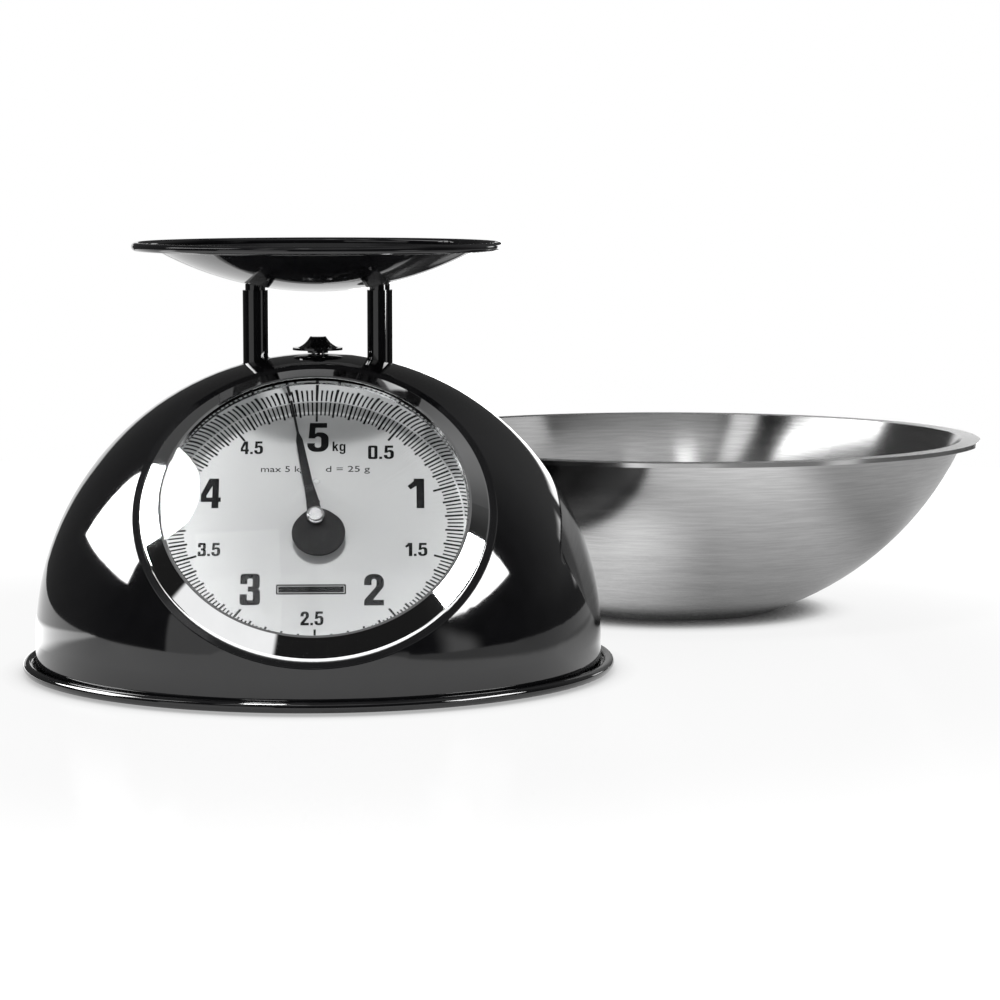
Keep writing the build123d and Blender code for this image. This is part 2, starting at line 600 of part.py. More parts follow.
def make_pointer():
    """Needle with a flared foot, a stepped fine tip and a round balance disc, at its resting angle."""
    tip = POINTER_TIP_WIDTH / 2
    right = [
        (POINTER_BASE_WIDTH / 2, 0), (POINTER_WAIST_WIDTH / 2, POINTER_WAIST_AT),
        (POINTER_NECK_WIDTH / 2, POINTER_NECK_AT), (tip, POINTER_NECK_AT + POINTER_STEP),
        (tip, POINTER_LENGTH - tip),
    ]
    left = [(-x, y) for x, y in reversed(right)]
    needle = make_face(Polyline(*right, (0, POINTER_LENGTH), *left, close=True))
    outline = needle + Pos(0, -BALANCE_OFFSET) * Circle(BALANCE_RADIUS)
    level = DIAL_TOP + POINTER_ABOVE_DIAL
    blade = Pos(0, 0, level) * extrude(outline, amount=POINTER_THICKNESS)
    blade -= rod(level - EPS, level + POINTER_THICKNESS + EPS, SHAFT_RADIUS)
    return DIAL_FRAME * Rot(0, 0, POINTER_REST_ANGLE) * blade


def make_pointer_boss():
    """Round metal cap pressed on the pointer's hub."""
    seat = DIAL_TOP + POINTER_ABOVE_DIAL + POINTER_THICKNESS
    boss = rod(seat, seat + BOSS_HEIGHT, BOSS_RADIUS)
    boss = fillet(boss.edges().group_by(Axis.Z)[-1], BOSS_RADIUS / 3)
    return DIAL_FRAME * boss


def make_rack():
    """Rack with teeth along the dial's normal, an arm back to the carrier and a screwed foot."""
    tip_x = PITCH_RADIUS - ADDENDUM
    root_x = PITCH_RADIUS + DEDENDUM
    back_x = root_x + RACK_BACK
    slope = tan(radians(PRESSURE_ANGLE))
    half = (TOOTH_PITCH - BACKLASH) / 4
    half_tip = half - ADDENDUM * slope
    half_root = half + DEDENDUM * slope
    first = -RACK_SPARE_TEETH
    last = PINION_TEETH + RACK_SPARE_TEETH
    low = (first - 0.5) * TOOTH_PITCH
    high = (last + 0.5) * TOOTH_PITCH
    points = [(back_x, low), (root_x, low)]
    for tooth in range(first, last + 1):
        middle = tooth * TOOTH_PITCH
        points += [
            (root_x, middle - half_root), (tip_x, middle - half_tip),
            (tip_x, middle + half_tip), (root_x, middle + half_root),
        ]
    points += [(root_x, high), (back_x, high)]
    front = FRONT_PLATE_BACK - END_PLAY - RACK_BACK / 2
    bar = extrude(make_face(Polyline(*points, close=True)), amount=RACK_THICKNESS)
    bar = Pos(0, 0, front - RACK_THICKNESS) * bar
    arm_x = back_x - RACK_ARM_SHEET
    foot_y = CARRIER_FRONT_Y - SHEET
    arm = side_plate(
        [
            side_point(front - RACK_THICKNESS, high / 2), (foot_y, WEB_LOW_Z), (foot_y, WEB_HIGH_Z),
            side_point(front - RACK_THICKNESS, high), side_point(front, high), side_point(front, high / 2),
        ],
        arm_x, back_x,
    )
    foot = block(arm_x, arm_x + RACK_FOOT_WIDTH, foot_y, CARRIER_FRONT_Y, WEB_LOW_Z, WEB_HIGH_Z)
    return fused(DIAL_FRAME * bar, arm, foot) - rack_screw_holes()


def rack_screw_places():
    """Frames of the rack's two screws, whose heads stand on the front of the rack's foot."""
    x = PITCH_RADIUS + DEDENDUM + RACK_BACK - RACK_ARM_SHEET + RACK_FOOT_WIDTH - RACK_SCREW_INSET
    return [
        Plane(origin=(x, CARRIER_FRONT_Y - SHEET, z), x_dir=(1, 0, 0), z_dir=(0, -1, 0))
        for z in (WEB_LOW_Z + RACK_SCREW_INSET, WEB_HIGH_Z - RACK_SCREW_INSET)
    ]


def rack_screw_holes():
    """Holes for the rack's screws through its foot and the carrier's web."""
    hole = rod(-2 * SHEET - EPS, EPS, SCREW_RADIUS)
    return Compound(children=[place * hole for place in rack_screw_places()])


def make_rack_screws():
    """Screws that hold the rack's foot to the carrier."""
    return Compound(children=[place * pan_screw(0, 2 * SHEET) for place in rack_screw_places()])


# Chassis and levers


def make_chassis():
    """Bent frame: two windowed side plates, a bridge, screwed feet and tabs for the movement."""
    inner_x = CHASSIS_HALF_WIDTH - SHEET
    shoulder_z = UPPER_PIVOT_Z + LEVER_WIDTH
    side = side_plate(
        [
            (CHASSIS_FRONT_Y, PLATE_TOP_Z), (CHASSIS_BACK_Y, PLATE_TOP_Z), (CHASSIS_BACK_Y, shoulder_z),
            (LEVER_PIVOT_Y - LEVER_WIDTH, shoulder_z), (BRIDGE_HALF_DEPTH, BRIDGE_TOP_Z),
            (-BRIDGE_HALF_DEPTH, BRIDGE_TOP_Z), (-BRIDGE_HALF_DEPTH, shoulder_z),
            side_point(FRONT_PLATE_BACK, FRONT_PLATE_HALF_HEIGHT),
            side_point(FRONT_PLATE_BACK, -FRONT_PLATE_HALF_HEIGHT), (CHASSIS_FRONT_Y, WINDOW_LOW_Z),
        ],
        inner_x, CHASSIS_HALF_WIDTH,
    )
    window = block(
        inner_x - EPS, CHASSIS_HALF_WIDTH + EPS, WINDOW_FRONT_Y, WINDOW_BACK_Y, WINDOW_LOW_Z, WINDOW_HIGH_Z
    )
    side -= fillet(window.edges().filter_by(Axis.X), WINDOW_CORNER)
    for z in (UPPER_PIVOT_Z, LOWER_PIVOT_Z):
        side -= cross_rod(CHASSIS_HALF_WIDTH + EPS, PIN_RADIUS, LEVER_PIVOT_Y, z)
    foot = block(
        CHASSIS_HALF_WIDTH - CHASSIS_FOOT, CHASSIS_HALF_WIDTH, CHASSIS_FRONT_Y, CHASSIS_BACK_Y,
        PLATE_TOP_Z, PLATE_TOP_Z + SHEET,
    )
    tab = DIAL_FRAME * block(
        CHASSIS_HALF_WIDTH - CHASSIS_TAB, CHASSIS_HALF_WIDTH,
        -FRONT_PLATE_HALF_HEIGHT, FRONT_PLATE_HALF_HEIGHT, FRONT_PLATE_BACK - SHEET, FRONT_PLATE_BACK,
    )
    half = fused(side, foot, tab)
    bridge = block(
        -CHASSIS_HALF_WIDTH, CHASSIS_HALF_WIDTH, -BRIDGE_HALF_DEPTH, BRIDGE_HALF_DEPTH,
        BRIDGE_BOTTOM_Z, BRIDGE_TOP_Z,
    )
    frame = fused(bridge, half, mirror(half, about=Plane.YZ))
    post_hole = rod(BRIDGE_BOTTOM_Z - EPS, BRIDGE_TOP_Z + EPS, POST_RADIUS + MOVING_GAP)
    for side in (-1, 1):
        frame -= Pos(side * POST_X, 0, 0) * post_hole
    frame -= rod(BRIDGE_BOTTOM_Z - EPS, BRIDGE_TOP_Z + EPS, ZERO_SCREW_RADIUS + RUN_FIT)
    for place in CHASSIS_SCREW_PLACES:
        frame -= place * rod(PLATE_BOTTOM_Z, PLATE_TOP_Z + 2 * SHEET, SCREW_RADIUS)
    for place in MOVEMENT_SCREW_PLACES:
        frame -= DIAL_FRAME * place * rod(FRONT_PLATE_BACK - 2 * SHEET, FRONT_PLATE_TOP, SCREW_RADIUS)
    return frame


def make_pivot_pin(z):
    """Fixed pivot pin across the chassis."""
    return cross_rod(CHASSIS_HALF_WIDTH, PIN_RADIUS, LEVER_PIVOT_Y, z)


def make_lever(pivot_z):
    """Guide lever at its resting angle: two arms joined by a web, slotted at the carrier's pin."""
    inner_x = LEVER_HALF_WIDTH - SHEET
    half = LEVER_WIDTH / 2
    arm = block(inner_x, LEVER_HALF_WIDTH, -LEVER_LENGTH, 0, -half, half)
    for y in (-LEVER_LENGTH, 0):
        arm += Pos((inner_x + LEVER_HALF_WIDTH) / 2, y, 0) * Rot(0, 90, 0) * Cylinder(half, SHEET)
    slot_radius = PIN_RADIUS + LEVER_SLOT_GAP
    for offset in (-LEVER_SLOT_PLAY, LEVER_SLOT_PLAY):
        arm -= cross_rod(LEVER_HALF_WIDTH + EPS, slot_radius, offset - LEVER_LENGTH, 0)
    arm -= block(
        inner_x - EPS, LEVER_HALF_WIDTH + EPS,
        -LEVER_LENGTH - LEVER_SLOT_PLAY, LEVER_SLOT_PLAY - LEVER_LENGTH, -slot_radius, slot_radius,
    )
    arm -= cross_rod(LEVER_HALF_WIDTH + EPS, PIN_RADIUS + RUN_FIT, 0, 0)
    web = block(-LEVER_HALF_WIDTH, LEVER_HALF_WIDTH, -2 * LEVER_WEB, -LEVER_WEB, half - SHEET, half)
    lever = fused(web, arm, mirror(arm, about=Plane.YZ))
    rest_angle = degrees(asin(LEVER_REST_RISE / LEVER_LENGTH))
    return Pos(0, LEVER_PIVOT_Y, pivot_z) * Rot(-rest_angle, 0, 0) * lever


# Carrier, tray and posts


def make_carrier_frame():
    """Bent frame under the posts: ears, straps, floor and a front web for the rack."""
    strap_x = CARRIER_HALF_WIDTH - SHEET
    half = fused(
        block(strap_x, CARRIER_HALF_WIDTH, CARRIER_FRONT_Y, CARRIER_BACK_Y, CARRIER_BOTTOM_Z, CARRIER_TOP_Z),
        block(
            CARRIER_HALF_WIDTH - CARRIER_EAR, CARRIER_HALF_WIDTH, CARRIER_FRONT_Y, CARRIER_BACK_Y,
            CARRIER_TOP_Z - SHEET, CARRIER_TOP_Z,
        ),
    )
    floor = block(
        -CARRIER_HALF_WIDTH, CARRIER_HALF_WIDTH, CARRIER_FRONT_Y, CARRIER_BACK_Y,
        CARRIER_BOTTOM_Z, CARRIER_BOTTOM_Z + SHEET,
    )
    web = block(
        -CARRIER_HALF_WIDTH, CARRIER_HALF_WIDTH, CARRIER_FRONT_Y, CARRIER_FRONT_Y + SHEET,
        WEB_LOW_Z, WEB_HIGH_Z,
    )
    frame = fused(floor, web, half, mirror(half, about=Plane.YZ))
    stud_hole = rod(CARRIER_TOP_Z - 2 * SHEET, CARRIER_TOP_Z + EPS, STUD_RADIUS)
    for side in (-1, 1):
        frame -= Pos(side * POST_X, 0, 0) * stud_hole
    for y, z in carrier_pin_places():
        frame -= cross_rod(CARRIER_HALF_WIDTH + EPS, PIN_RADIUS, y, z)
    frame -= cross_rod(CARRIER_HALF_WIDTH + EPS, PIN_RADIUS, 0, SPRING_PIN_Z)
    return frame - rack_screw_holes()


def carrier_pin_places():
    """Y and Z of the pins that ride in the levers' slots, with the tray at the top of its travel."""
    return [(LEVER_PIN_Y, z + LEVER_REST_RISE) for z in (UPPER_PIVOT_Z, LOWER_PIVOT_Z)]


def make_carrier_pins():
    """Pins across the carrier for the upper and lower levers."""
    places = carrier_pin_places()
    return Compound(children=[cross_rod(CARRIER_HALF_WIDTH, PIN_RADIUS, y, z) for y, z in places])


def make_spring_pin():
    """Pin across the carrier that the lower hook of the spring pulls on."""
    return cross_rod(CARRIER_HALF_WIDTH, PIN_RADIUS, 0, SPRING_PIN_Z)


def tray_ball(gap):
    """The ball whose skin lies a gap below the underside of the tray's dish."""
    return Pos(0, 0, TRAY_SPHERE_Z) * Sphere(TRAY_DISH_RADIUS + gap)


def make_tray():
    """Shallow dish with a flat flange and a rolled rim."""
    rim_r = TRAY_RADIUS - TRAY_RIM_RADIUS
    low = TRAY_RIM_Z - TRAY_RIM_RADIUS
    inner_radius = TRAY_DISH_RADIUS - TRAY_WALL
    inner_edge = sqrt(inner_radius**2 - (TRAY_SPHERE_Z - low - TRAY_WALL) ** 2)
    bottom = TRAY_SPHERE_Z - TRAY_DISH_RADIUS
    join = rim_r - sqrt(TRAY_RIM_RADIUS**2 - (TRAY_RIM_RADIUS - TRAY_WALL) ** 2)

    def on_ball(radius, ball):
        return (radius, TRAY_SPHERE_Z - sqrt(ball**2 - radius**2))

    return turned(
        Line((0, bottom + TRAY_WALL), (0, bottom)),
        ThreePointArc(
            (0, bottom), on_ball(TRAY_DISH_EDGE / 2, TRAY_DISH_RADIUS), (TRAY_DISH_EDGE, low)
        ),
        Line((TRAY_DISH_EDGE, low), (rim_r, low)),
        ThreePointArc((rim_r, low), (TRAY_RADIUS, TRAY_RIM_Z), (rim_r, TRAY_RIM_Z + TRAY_RIM_RADIUS)),
        ThreePointArc(
            (rim_r, TRAY_RIM_Z + TRAY_RIM_RADIUS), (rim_r - TRAY_RIM_RADIUS, TRAY_RIM_Z),
            (join, low + TRAY_WALL),
        ),
        Line((join, low + TRAY_WALL), (inner_edge, low + TRAY_WALL)),
        ThreePointArc(
            (inner_edge, low + TRAY_WALL), on_ball(inner_edge / 2, inner_radius), (0, bottom + TRAY_WALL)
        ),
    )


def make_post(side):
    """Tube from the carrier's ear, with a neck whose top is cut to the round of the tray's dish."""
    tube = rod(CARRIER_TOP_Z, POST_SHOULDER_Z, POST_RADIUS)
    tube += rod(POST_SHOULDER_Z, TRAY_RIM_Z, POST_NECK_RADIUS)
    tube -= rod(CARRIER_TOP_Z - EPS, TRAY_RIM_Z + EPS, POST_RADIUS - POST_WALL)
    return Pos(side * POST_X, 0, 0) * tube - tray_ball(SEAT_GAP)


def make_tray_studs():
    """Studs welded under the tray that run down inside the posts."""
    low = CARRIER_TOP_Z - SHEET - STUD_BELOW_FLANGE
    return mirrored(Pos(POST_X, 0, 0) * rod(low, TRAY_RIM_Z, STUD_RADIUS) - tray_ball(0))


def make_stud_nuts():
    """Nuts on the studs, under the carrier's ears."""
    top = CARRIER_TOP_Z - SHEET
    hexagon = RegularPolygon(NUT_FLATS / 2, 6, major_radius=False)
    nut = Pos(0, 0, top - NUT_HEIGHT) * extrude(hexagon, amount=NUT_HEIGHT)
    nut -= rod(top - NUT_HEIGHT - EPS, top + EPS, STUD_RADIUS)
    return mirrored(Pos(POST_X, 0, 0) * nut)


# Zero adjuster


def make_zero_knob():
    """Bell-shaped knob with a thin brim and fluted sides."""
    brim_z = KNOB_BOTTOM_Z + KNOB_HUB_HEIGHT
    bell_z = brim_z + KNOB_BRIM
    waist = (KNOB_WAIST_RADIUS, bell_z + KNOB_WAIST_HEIGHT)
    knob = turned(
        Line((0, KNOB_BOTTOM_Z), (KNOB_HUB_RADIUS, KNOB_BOTTOM_Z)),
        Line((KNOB_HUB_RADIUS, KNOB_BOTTOM_Z), (KNOB_HUB_RADIUS, brim_z)),
        Line((KNOB_HUB_RADIUS, brim_z), (KNOB_BRIM_RADIUS, brim_z)),
        Line((KNOB_BRIM_RADIUS, brim_z), (KNOB_BRIM_RADIUS, bell_z)),
        Line((KNOB_BRIM_RADIUS, bell_z), (KNOB_SHOULDER_RADIUS, bell_z)),
        ThreePointArc((KNOB_SHOULDER_RADIUS, bell_z), waist, (KNOB_TOP_RADIUS, KNOB_TOP_Z)),
        Line((KNOB_TOP_RADIUS, KNOB_TOP_Z), (0, KNOB_TOP_Z)),
        Line((0, KNOB_TOP_Z), (0, KNOB_BOTTOM_Z)),
    )
    slope = hypot(KNOB_BELL_HEIGHT, KNOB_SHOULDER_RADIUS - KNOB_TOP_RADIUS)
    lean = degrees(acos(KNOB_BELL_HEIGHT / slope))
    groove = Rot(0, -lean, 0) * rod(0, 2 * slope, KNOB_FLUTE_RADIUS)
    groove = Pos(KNOB_SHOULDER_RADIUS, 0, bell_z) * groove
    for k in range(KNOB_FLUTES):
        knob -= Rot(0, 0, 360 * k / KNOB_FLUTES) * groove
    return knob - rod(KNOB_BOTTOM_Z - EPS, bell_z, ZERO_SCREW_RADIUS)


def make_zero_screw():
    """Adjusting screw with a collar that rests on the bridge."""
    low = HANGER_BOSS_LOW_Z + SHEET
    shank = rod(low, KNOB_BOTTOM_Z + KNOB_HUB_HEIGHT + KNOB_BRIM, ZERO_SCREW_RADIUS)
    return shank + rod(BRIDGE_TOP_Z, BRIDGE_TOP_Z + ZERO_COLLAR_HEIGHT, ZERO_COLLAR_RADIUS)


def make_spring_hanger():
    """Threaded block on the zero screw, with a clevis and cross pin for the spring."""
    top = HANGER_BOSS_LOW_Z + HANGER_BOSS_HEIGHT
    boss = block(
        -HANGER_HALF_WIDTH, HANGER_HALF_WIDTH, -HANGER_HALF_DEPTH, HANGER_HALF_DEPTH,
        HANGER_BOSS_LOW_Z, top,
    )
    cheek = block(
        HANGER_HALF_WIDTH - HANGER_CHEEK, HANGER_HALF_WIDTH, -HANGER_HALF_DEPTH, HANGER_HALF_DEPTH,
        HANGER_PIN_Z - 2 * PIN_RADIUS, HANGER_BOSS_LOW_Z,
    )
    pin = cross_rod(HANGER_HALF_WIDTH, PIN_RADIUS, 0, HANGER_PIN_Z)
    hanger = fused(boss, cheek, mirror(cheek, about=Plane.YZ), pin)
    return hanger - rod(HANGER_BOSS_LOW_Z - EPS, top + EPS, ZERO_SCREW_RADIUS + RUN_FIT)


def biarc(start, start_way, end, end_way):
    """Two arcs that join two points and keep the directions given at both."""
    chord = end - start
    ways = start_way + end_way
    a = ways.dot(ways) - 4
    b = -2 * chord.dot(ways)
    c = chord.dot(chord)
    reach = (-b - sqrt(b * b - 4 * a * c)) / (2 * a) if abs(a) > 1e-9 else -c / b
    joint = (start + start_way * reach + end - end_way * reach) / 2
    middle_way = (end - end_way * reach - joint).normalized()
    return [TangentArc(start, joint, tangent=start_way), TangentArc(joint, end, tangent=middle_way)]


def make_main_spring():
    """Extension spring: open coil and a hook at each end, one unbroken wire."""
    coil_low = SPRING_PIN_Z + SPRING_NECK + HOOK_RADIUS
    coil_high = HANGER_PIN_Z - SPRING_NECK - HOOK_RADIUS
    pitch = (coil_high - coil_low) / SPRING_TURNS
    climb = pitch / (2 * pi * SPRING_MEAN_RADIUS)

    def coil_point(quarters):
        angle = quarters * pi / 2
        return Vector(
            SPRING_MEAN_RADIUS * cos(angle), SPRING_MEAN_RADIUS * sin(angle), coil_low + pitch * quarters / 4
        )

    def coil_way(quarters):
        angle = quarters * pi / 2
        return Vector(-sin(angle), cos(angle), climb).normalized()

    last = 4 * SPRING_TURNS
    up = Vector(0, 0, 1)
    low_leg = Vector(0, -HOOK_RADIUS, SPRING_PIN_Z)
    low_end = Vector(0, HOOK_RADIUS, SPRING_PIN_Z)
    high_leg = Vector(0, HOOK_RADIUS, HANGER_PIN_Z)
    high_end = Vector(0, -HOOK_RADIUS, HANGER_PIN_Z)
    wire = [ThreePointArc(low_end, Vector(0, 0, SPRING_PIN_Z - HOOK_RADIUS), low_leg)]
    wire += biarc(low_leg, up, coil_point(0), coil_way(0))
    for quarter in range(last):
        wire += biarc(coil_point(quarter), coil_way(quarter), coil_point(quarter + 1), coil_way(quarter + 1))
    wire += biarc(coil_point(last), coil_way(last), high_leg, up)
    wire.append(ThreePointArc(high_leg, Vector(0, 0, HANGER_PIN_Z + HOOK_RADIUS), high_end))
    path = Wire(wire)
    section = Plane(origin=low_end, z_dir=(0, 0, -1)) * Circle(SPRING_WIRE / 2)
    spring = sweep(section, path=path)
    print("spring gap to itself", round(least_gap(path), 3), "volume ratio",
          round(spring.volume / (path.length * pi * SPRING_WIRE**2 / 4), 4))
    return spring


def least_gap(path):
    """Least distance between turns of the spring's wire, skin to skin, measured on points."""
    count = SPRING_TURNS * 40
    points = [path.position_at(k / count) for k in range(count + 1)]
    apart = int(count * 4 * SPRING_WIRE / path.length) + 1
    gaps = [
        (points[i] - points[j]).length - SPRING_WIRE
        for i in range(count + 1)
        for j in range(i + apart, count + 1)
    ]
    return min(gaps)


# Bowl


def make_bowl():
    """Spun bowl with a flat base, round wall and a flat hemmed rim."""
    wall_r = BOWL_RIM_RADIUS - BOWL_FLANGE
    rim_low = BOWL_RIM_Z - BOWL_WALL
    ball_z = (wall_r**2 + rim_low**2 - BOWL_BASE_RADIUS**2) / (2 * rim_low)
    ball = hypot(BOWL_BASE_RADIUS, ball_z)
    inner_ball = ball - BOWL_WALL
    inner_base = sqrt(inner_ball**2 - (ball_z - BOWL_WALL) ** 2)
    inner_top = sqrt(inner_ball**2 - (ball_z - BOWL_RIM_Z) ** 2)
    hem_low = BOWL_RIM_Z - BOWL_HEM
    hem_r = BOWL_RIM_RADIUS - BOWL_HEM

    def on_ball(radius, low_z, high_z):
        z = (low_z + high_z) / 2
        return (sqrt(radius**2 - (ball_z - z) ** 2), z)

    bowl = turned(
        Line((0, BOWL_WALL), (0, 0)),
        Line((0, 0), (BOWL_BASE_RADIUS, 0)),
        ThreePointArc((BOWL_BASE_RADIUS, 0), on_ball(ball, 0, rim_low), (wall_r, rim_low)),
        Line((wall_r, rim_low), (hem_r, rim_low)),
        Line((hem_r, rim_low), (hem_r, hem_low)),
        Line((hem_r, hem_low), (BOWL_RIM_RADIUS, hem_low)),
        Line((BOWL_RIM_RADIUS, hem_low), (BOWL_RIM_RADIUS, BOWL_RIM_Z)),
        Line((BOWL_RIM_RADIUS, BOWL_RIM_Z), (inner_top, BOWL_RIM_Z)),
        ThreePointArc(
            (inner_top, BOWL_RIM_Z), on_ball(inner_ball, BOWL_WALL, BOWL_RIM_Z), (inner_base, BOWL_WALL)
        ),
        Line((inner_base, BOWL_WALL), (0, BOWL_WALL)),
    )
    return Rot(0, 0, BOWL_BEARING) * Pos(BOWL_DISTANCE, 0, 0) * bowl


NODES = {
    "dome_shell": make_dome_shell,
    "shell_lugs": make_shell_lugs,
    "base_plate": make_base_plate,
    "rubber_feet": make_rubber_feet,
    "base_screws": make_base_screws,
    "chassis_screws": make_chassis_screws,
    "bezel_ring": make_bezel_ring,
    "dial_lens": make_dial_lens,
    "dial_plate": make_dial_plate,
    "dial_pillars": make_dial_pillars,
    "movement_plate_front": make_movement_plate_front,
    "movement_plate_rear": make_movement_plate_rear,
    "movement_pillars": make_movement_pillars,
    "movement_screws": make_movement_screws,
    "shaft_bushes": make_shaft_bushes,
    "chassis": make_chassis,
    "upper_pivot_pin": lambda: make_pivot_pin(UPPER_PIVOT_Z),
    "lower_pivot_pin": lambda: make_pivot_pin(LOWER_PIVOT_Z),
    "upper_lever": lambda: make_lever(UPPER_PIVOT_Z),
    "lower_lever": lambda: make_lever(LOWER_PIVOT_Z),
    "tray": make_tray,
    "tray_studs": make_tray_studs,
    "left_post": lambda: make_post(-1),
    "right_post": lambda: make_post(1),
    "carrier_frame": make_carrier_frame,
    "stud_nuts": make_stud_nuts,
    "carrier_pins": make_carrier_pins,
    "spring_pin": make_spring_pin,
    "rack": make_rack,
    "rack_screws": make_rack_screws,
    "pinion": make_pinion,
    "pointer_shaft": make_pointer_shaft,
    "pointer": make_pointer,
    "pointer_boss": make_pointer_boss,
    "zero_knob": make_zero_knob,
    "zero_screw": make_zero_screw,
    "spring_hanger": make_spring_hanger,
    "main_spring": make_main_spring,
    "bowl": make_bowl,
}


def main():
    os.makedirs("parts", exist_ok=True)
    for name, make in NODES.items():
        export_step(make(), os.path.join("parts", name + ".step"))
    print("tray travel for one turn of the pointer", round(FULL_TURN_TRAVEL, 4))


if __name__ == "__main__":
    main()
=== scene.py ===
"""Looks of a mechanical kitchen scale with a separate bowl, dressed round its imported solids."""

import logging
import math
from dataclasses import dataclass
from enum import Enum
from typing import Iterable, Iterator, Optional, Sequence, Union

import bpy
from mathutils import Matrix, Quaternion, Vector


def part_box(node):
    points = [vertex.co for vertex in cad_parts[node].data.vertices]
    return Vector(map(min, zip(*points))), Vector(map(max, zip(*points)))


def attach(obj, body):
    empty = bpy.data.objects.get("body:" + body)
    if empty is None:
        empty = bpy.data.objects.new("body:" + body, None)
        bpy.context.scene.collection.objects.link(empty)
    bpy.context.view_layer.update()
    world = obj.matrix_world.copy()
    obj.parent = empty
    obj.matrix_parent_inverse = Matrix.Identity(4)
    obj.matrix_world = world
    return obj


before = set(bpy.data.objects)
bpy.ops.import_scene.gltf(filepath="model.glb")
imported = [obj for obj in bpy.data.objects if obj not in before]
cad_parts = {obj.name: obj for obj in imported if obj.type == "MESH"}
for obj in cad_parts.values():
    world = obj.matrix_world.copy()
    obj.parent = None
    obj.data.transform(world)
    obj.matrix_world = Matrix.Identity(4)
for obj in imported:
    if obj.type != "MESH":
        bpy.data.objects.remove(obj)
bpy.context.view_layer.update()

LOG = logging.getLogger("kitchen_scale")
MM = 0.001
FULL_TURN = 2 * math.pi
SMOOTH_ANGLE = math.radians(40.0)
MERGE_DISTANCE = 1e-6

Point = tuple[float, float]
Triple = tuple[float, float, float]
Corner = tuple[float, ...]
Outline = tuple[Corner, ...]
Value = Union[float, Sequence[float], bpy.types.NodeSocket]


class Body(Enum):
    """The moving groups that a new piece can ride on."""

    HOUSING = "housing"


class Slot(Enum):
    """The record's finishes that a new piece can take."""

    INK = "pointer_grey"
    STEEL = "bright_steel"


def tinted(color: Triple, share: float) -> Triple:
    """Gives a colour that is made darker or lighter by a share."""
    return tuple(share * part for part in color)


class Recipe:
    """A node tree that is written down step by step."""

    def __init__(self, holder: Union[bpy.types.Material, bpy.types.World]) -> None:
        """Clears the tree of a material, or of the surroundings, and starts on it."""
        holder.use_nodes = True
        self.holder = holder
        self.tree = holder.node_tree
        self.tree.nodes.clear()

    def add(self, kind: str, inputs: Optional[dict] = None, **settings: object) -> bpy.types.Node:
        """Adds one node.

        Args:
            kind: Blender's name of the node type.
            inputs: Values or sockets, by the name or number of the input.
            **settings: Properties of the node.

        Returns:
            The new node.
        """
        node = self.tree.nodes.new(kind)
        for key, value in settings.items():
            setattr(node, key, value)
        for key, value in (inputs or {}).items():
            if isinstance(value, bpy.types.NodeSocket):
                self.tree.links.new(value, node.inputs[key])
            else:
                node.inputs[key].default_value = value
        return node

    def place(self) -> bpy.types.NodeSocket:
        """Gives the place on the piece, in metres."""
        return self.add("ShaderNodeTexCoord").outputs["Object"]

    def sum(self, operation: str, *terms: Value) -> bpy.types.NodeSocket:
        """Gives one step of arithmetic on numbers."""
        return self.add("ShaderNodeMath", dict(enumerate(terms)), operation=operation).outputs[0]

    def vector(self, operation: str, *terms: Value) -> bpy.types.Node:
        """Adds one step of arithmetic on vectors."""
        return self.add("ShaderNodeVectorMath", dict(enumerate(terms)), operation=operation)

    def noise(self, at: Value, scale: float, detail: float = 2.0) -> bpy.types.NodeSocket:
        """Gives cloudy variation from 0 to 1.

        Args:
            at: Where on the piece it is read.
            scale: Clouds in one metre.
            detail: Octaves of finer clouds.

        Returns:
            The variation's socket.
        """
        inputs = {"Vector": at, "Scale": scale, "Detail": detail}
        return self.add("ShaderNodeTexNoise", inputs).outputs["Fac"]

    def span(self, value: Value, low: float, high: float) -> bpy.types.NodeSocket:
        """Spreads a variation from 0 to 1 over a range of values."""
        return self.add("ShaderNodeMapRange", {"Value": value, "To Min": low, "To Max": high}).outputs[0]

    def gate(self, value: Value, start: Value, end: Value) -> bpy.types.NodeSocket:
        """Gives a soft step from 0 at the start to 1 at the end."""
        inputs = {"Value": value, "From Min": start, "From Max": end}
        return self.add("ShaderNodeMapRange", inputs, interpolation_type="SMOOTHSTEP").outputs[0]

    def choose(self, by: Value, first: Value, second: Value) -> bpy.types.NodeSocket:
        """Gives the first number where the choice is 0 and the second where it is 1."""
        return self.add("ShaderNodeMix", {0: by, 2: first, 3: second}).outputs[0]

    def shade(self, value: Value, dark: Triple, light: Triple) -> bpy.types.NodeSocket:
        """Gives a colour between two by a variation from 0 to 1."""
        inputs = {0: value, 6: (*dark, 1.0), 7: (*light, 1.0)}
        return self.add("ShaderNodeMix", inputs, data_type="RGBA").outputs[2]

    def bump(self, height: Value, depth: float, under: Optional[Value] = None) -> bpy.types.NodeSocket:
        """Gives normals that follow a height.

        Args:
            height: The height, from 0 to 1.
            depth: The depth of the relief, in metres.
            under: Normals of a relief below this one.

        Returns:
            The normals' socket.
        """
        inputs = {"Height": height, "Distance": depth, "Strength": 1.0}
        if under is not None:
            inputs["Normal"] = under
        return self.add("ShaderNodeBump", inputs).outputs["Normal"]

    def finish(self, shader: bpy.types.NodeSocket) -> bpy.types.Material:
        """Puts a shader on the surface and gives the finished material."""
        self.add("ShaderNodeOutputMaterial", {"Surface": shader})
        return self.holder

    def coat(self, inputs: dict) -> bpy.types.Material:
        """Finishes with one all-round shader that takes the given inputs."""
        return self.finish(self.add("ShaderNodeBsdfPrincipled", inputs).outputs[0])


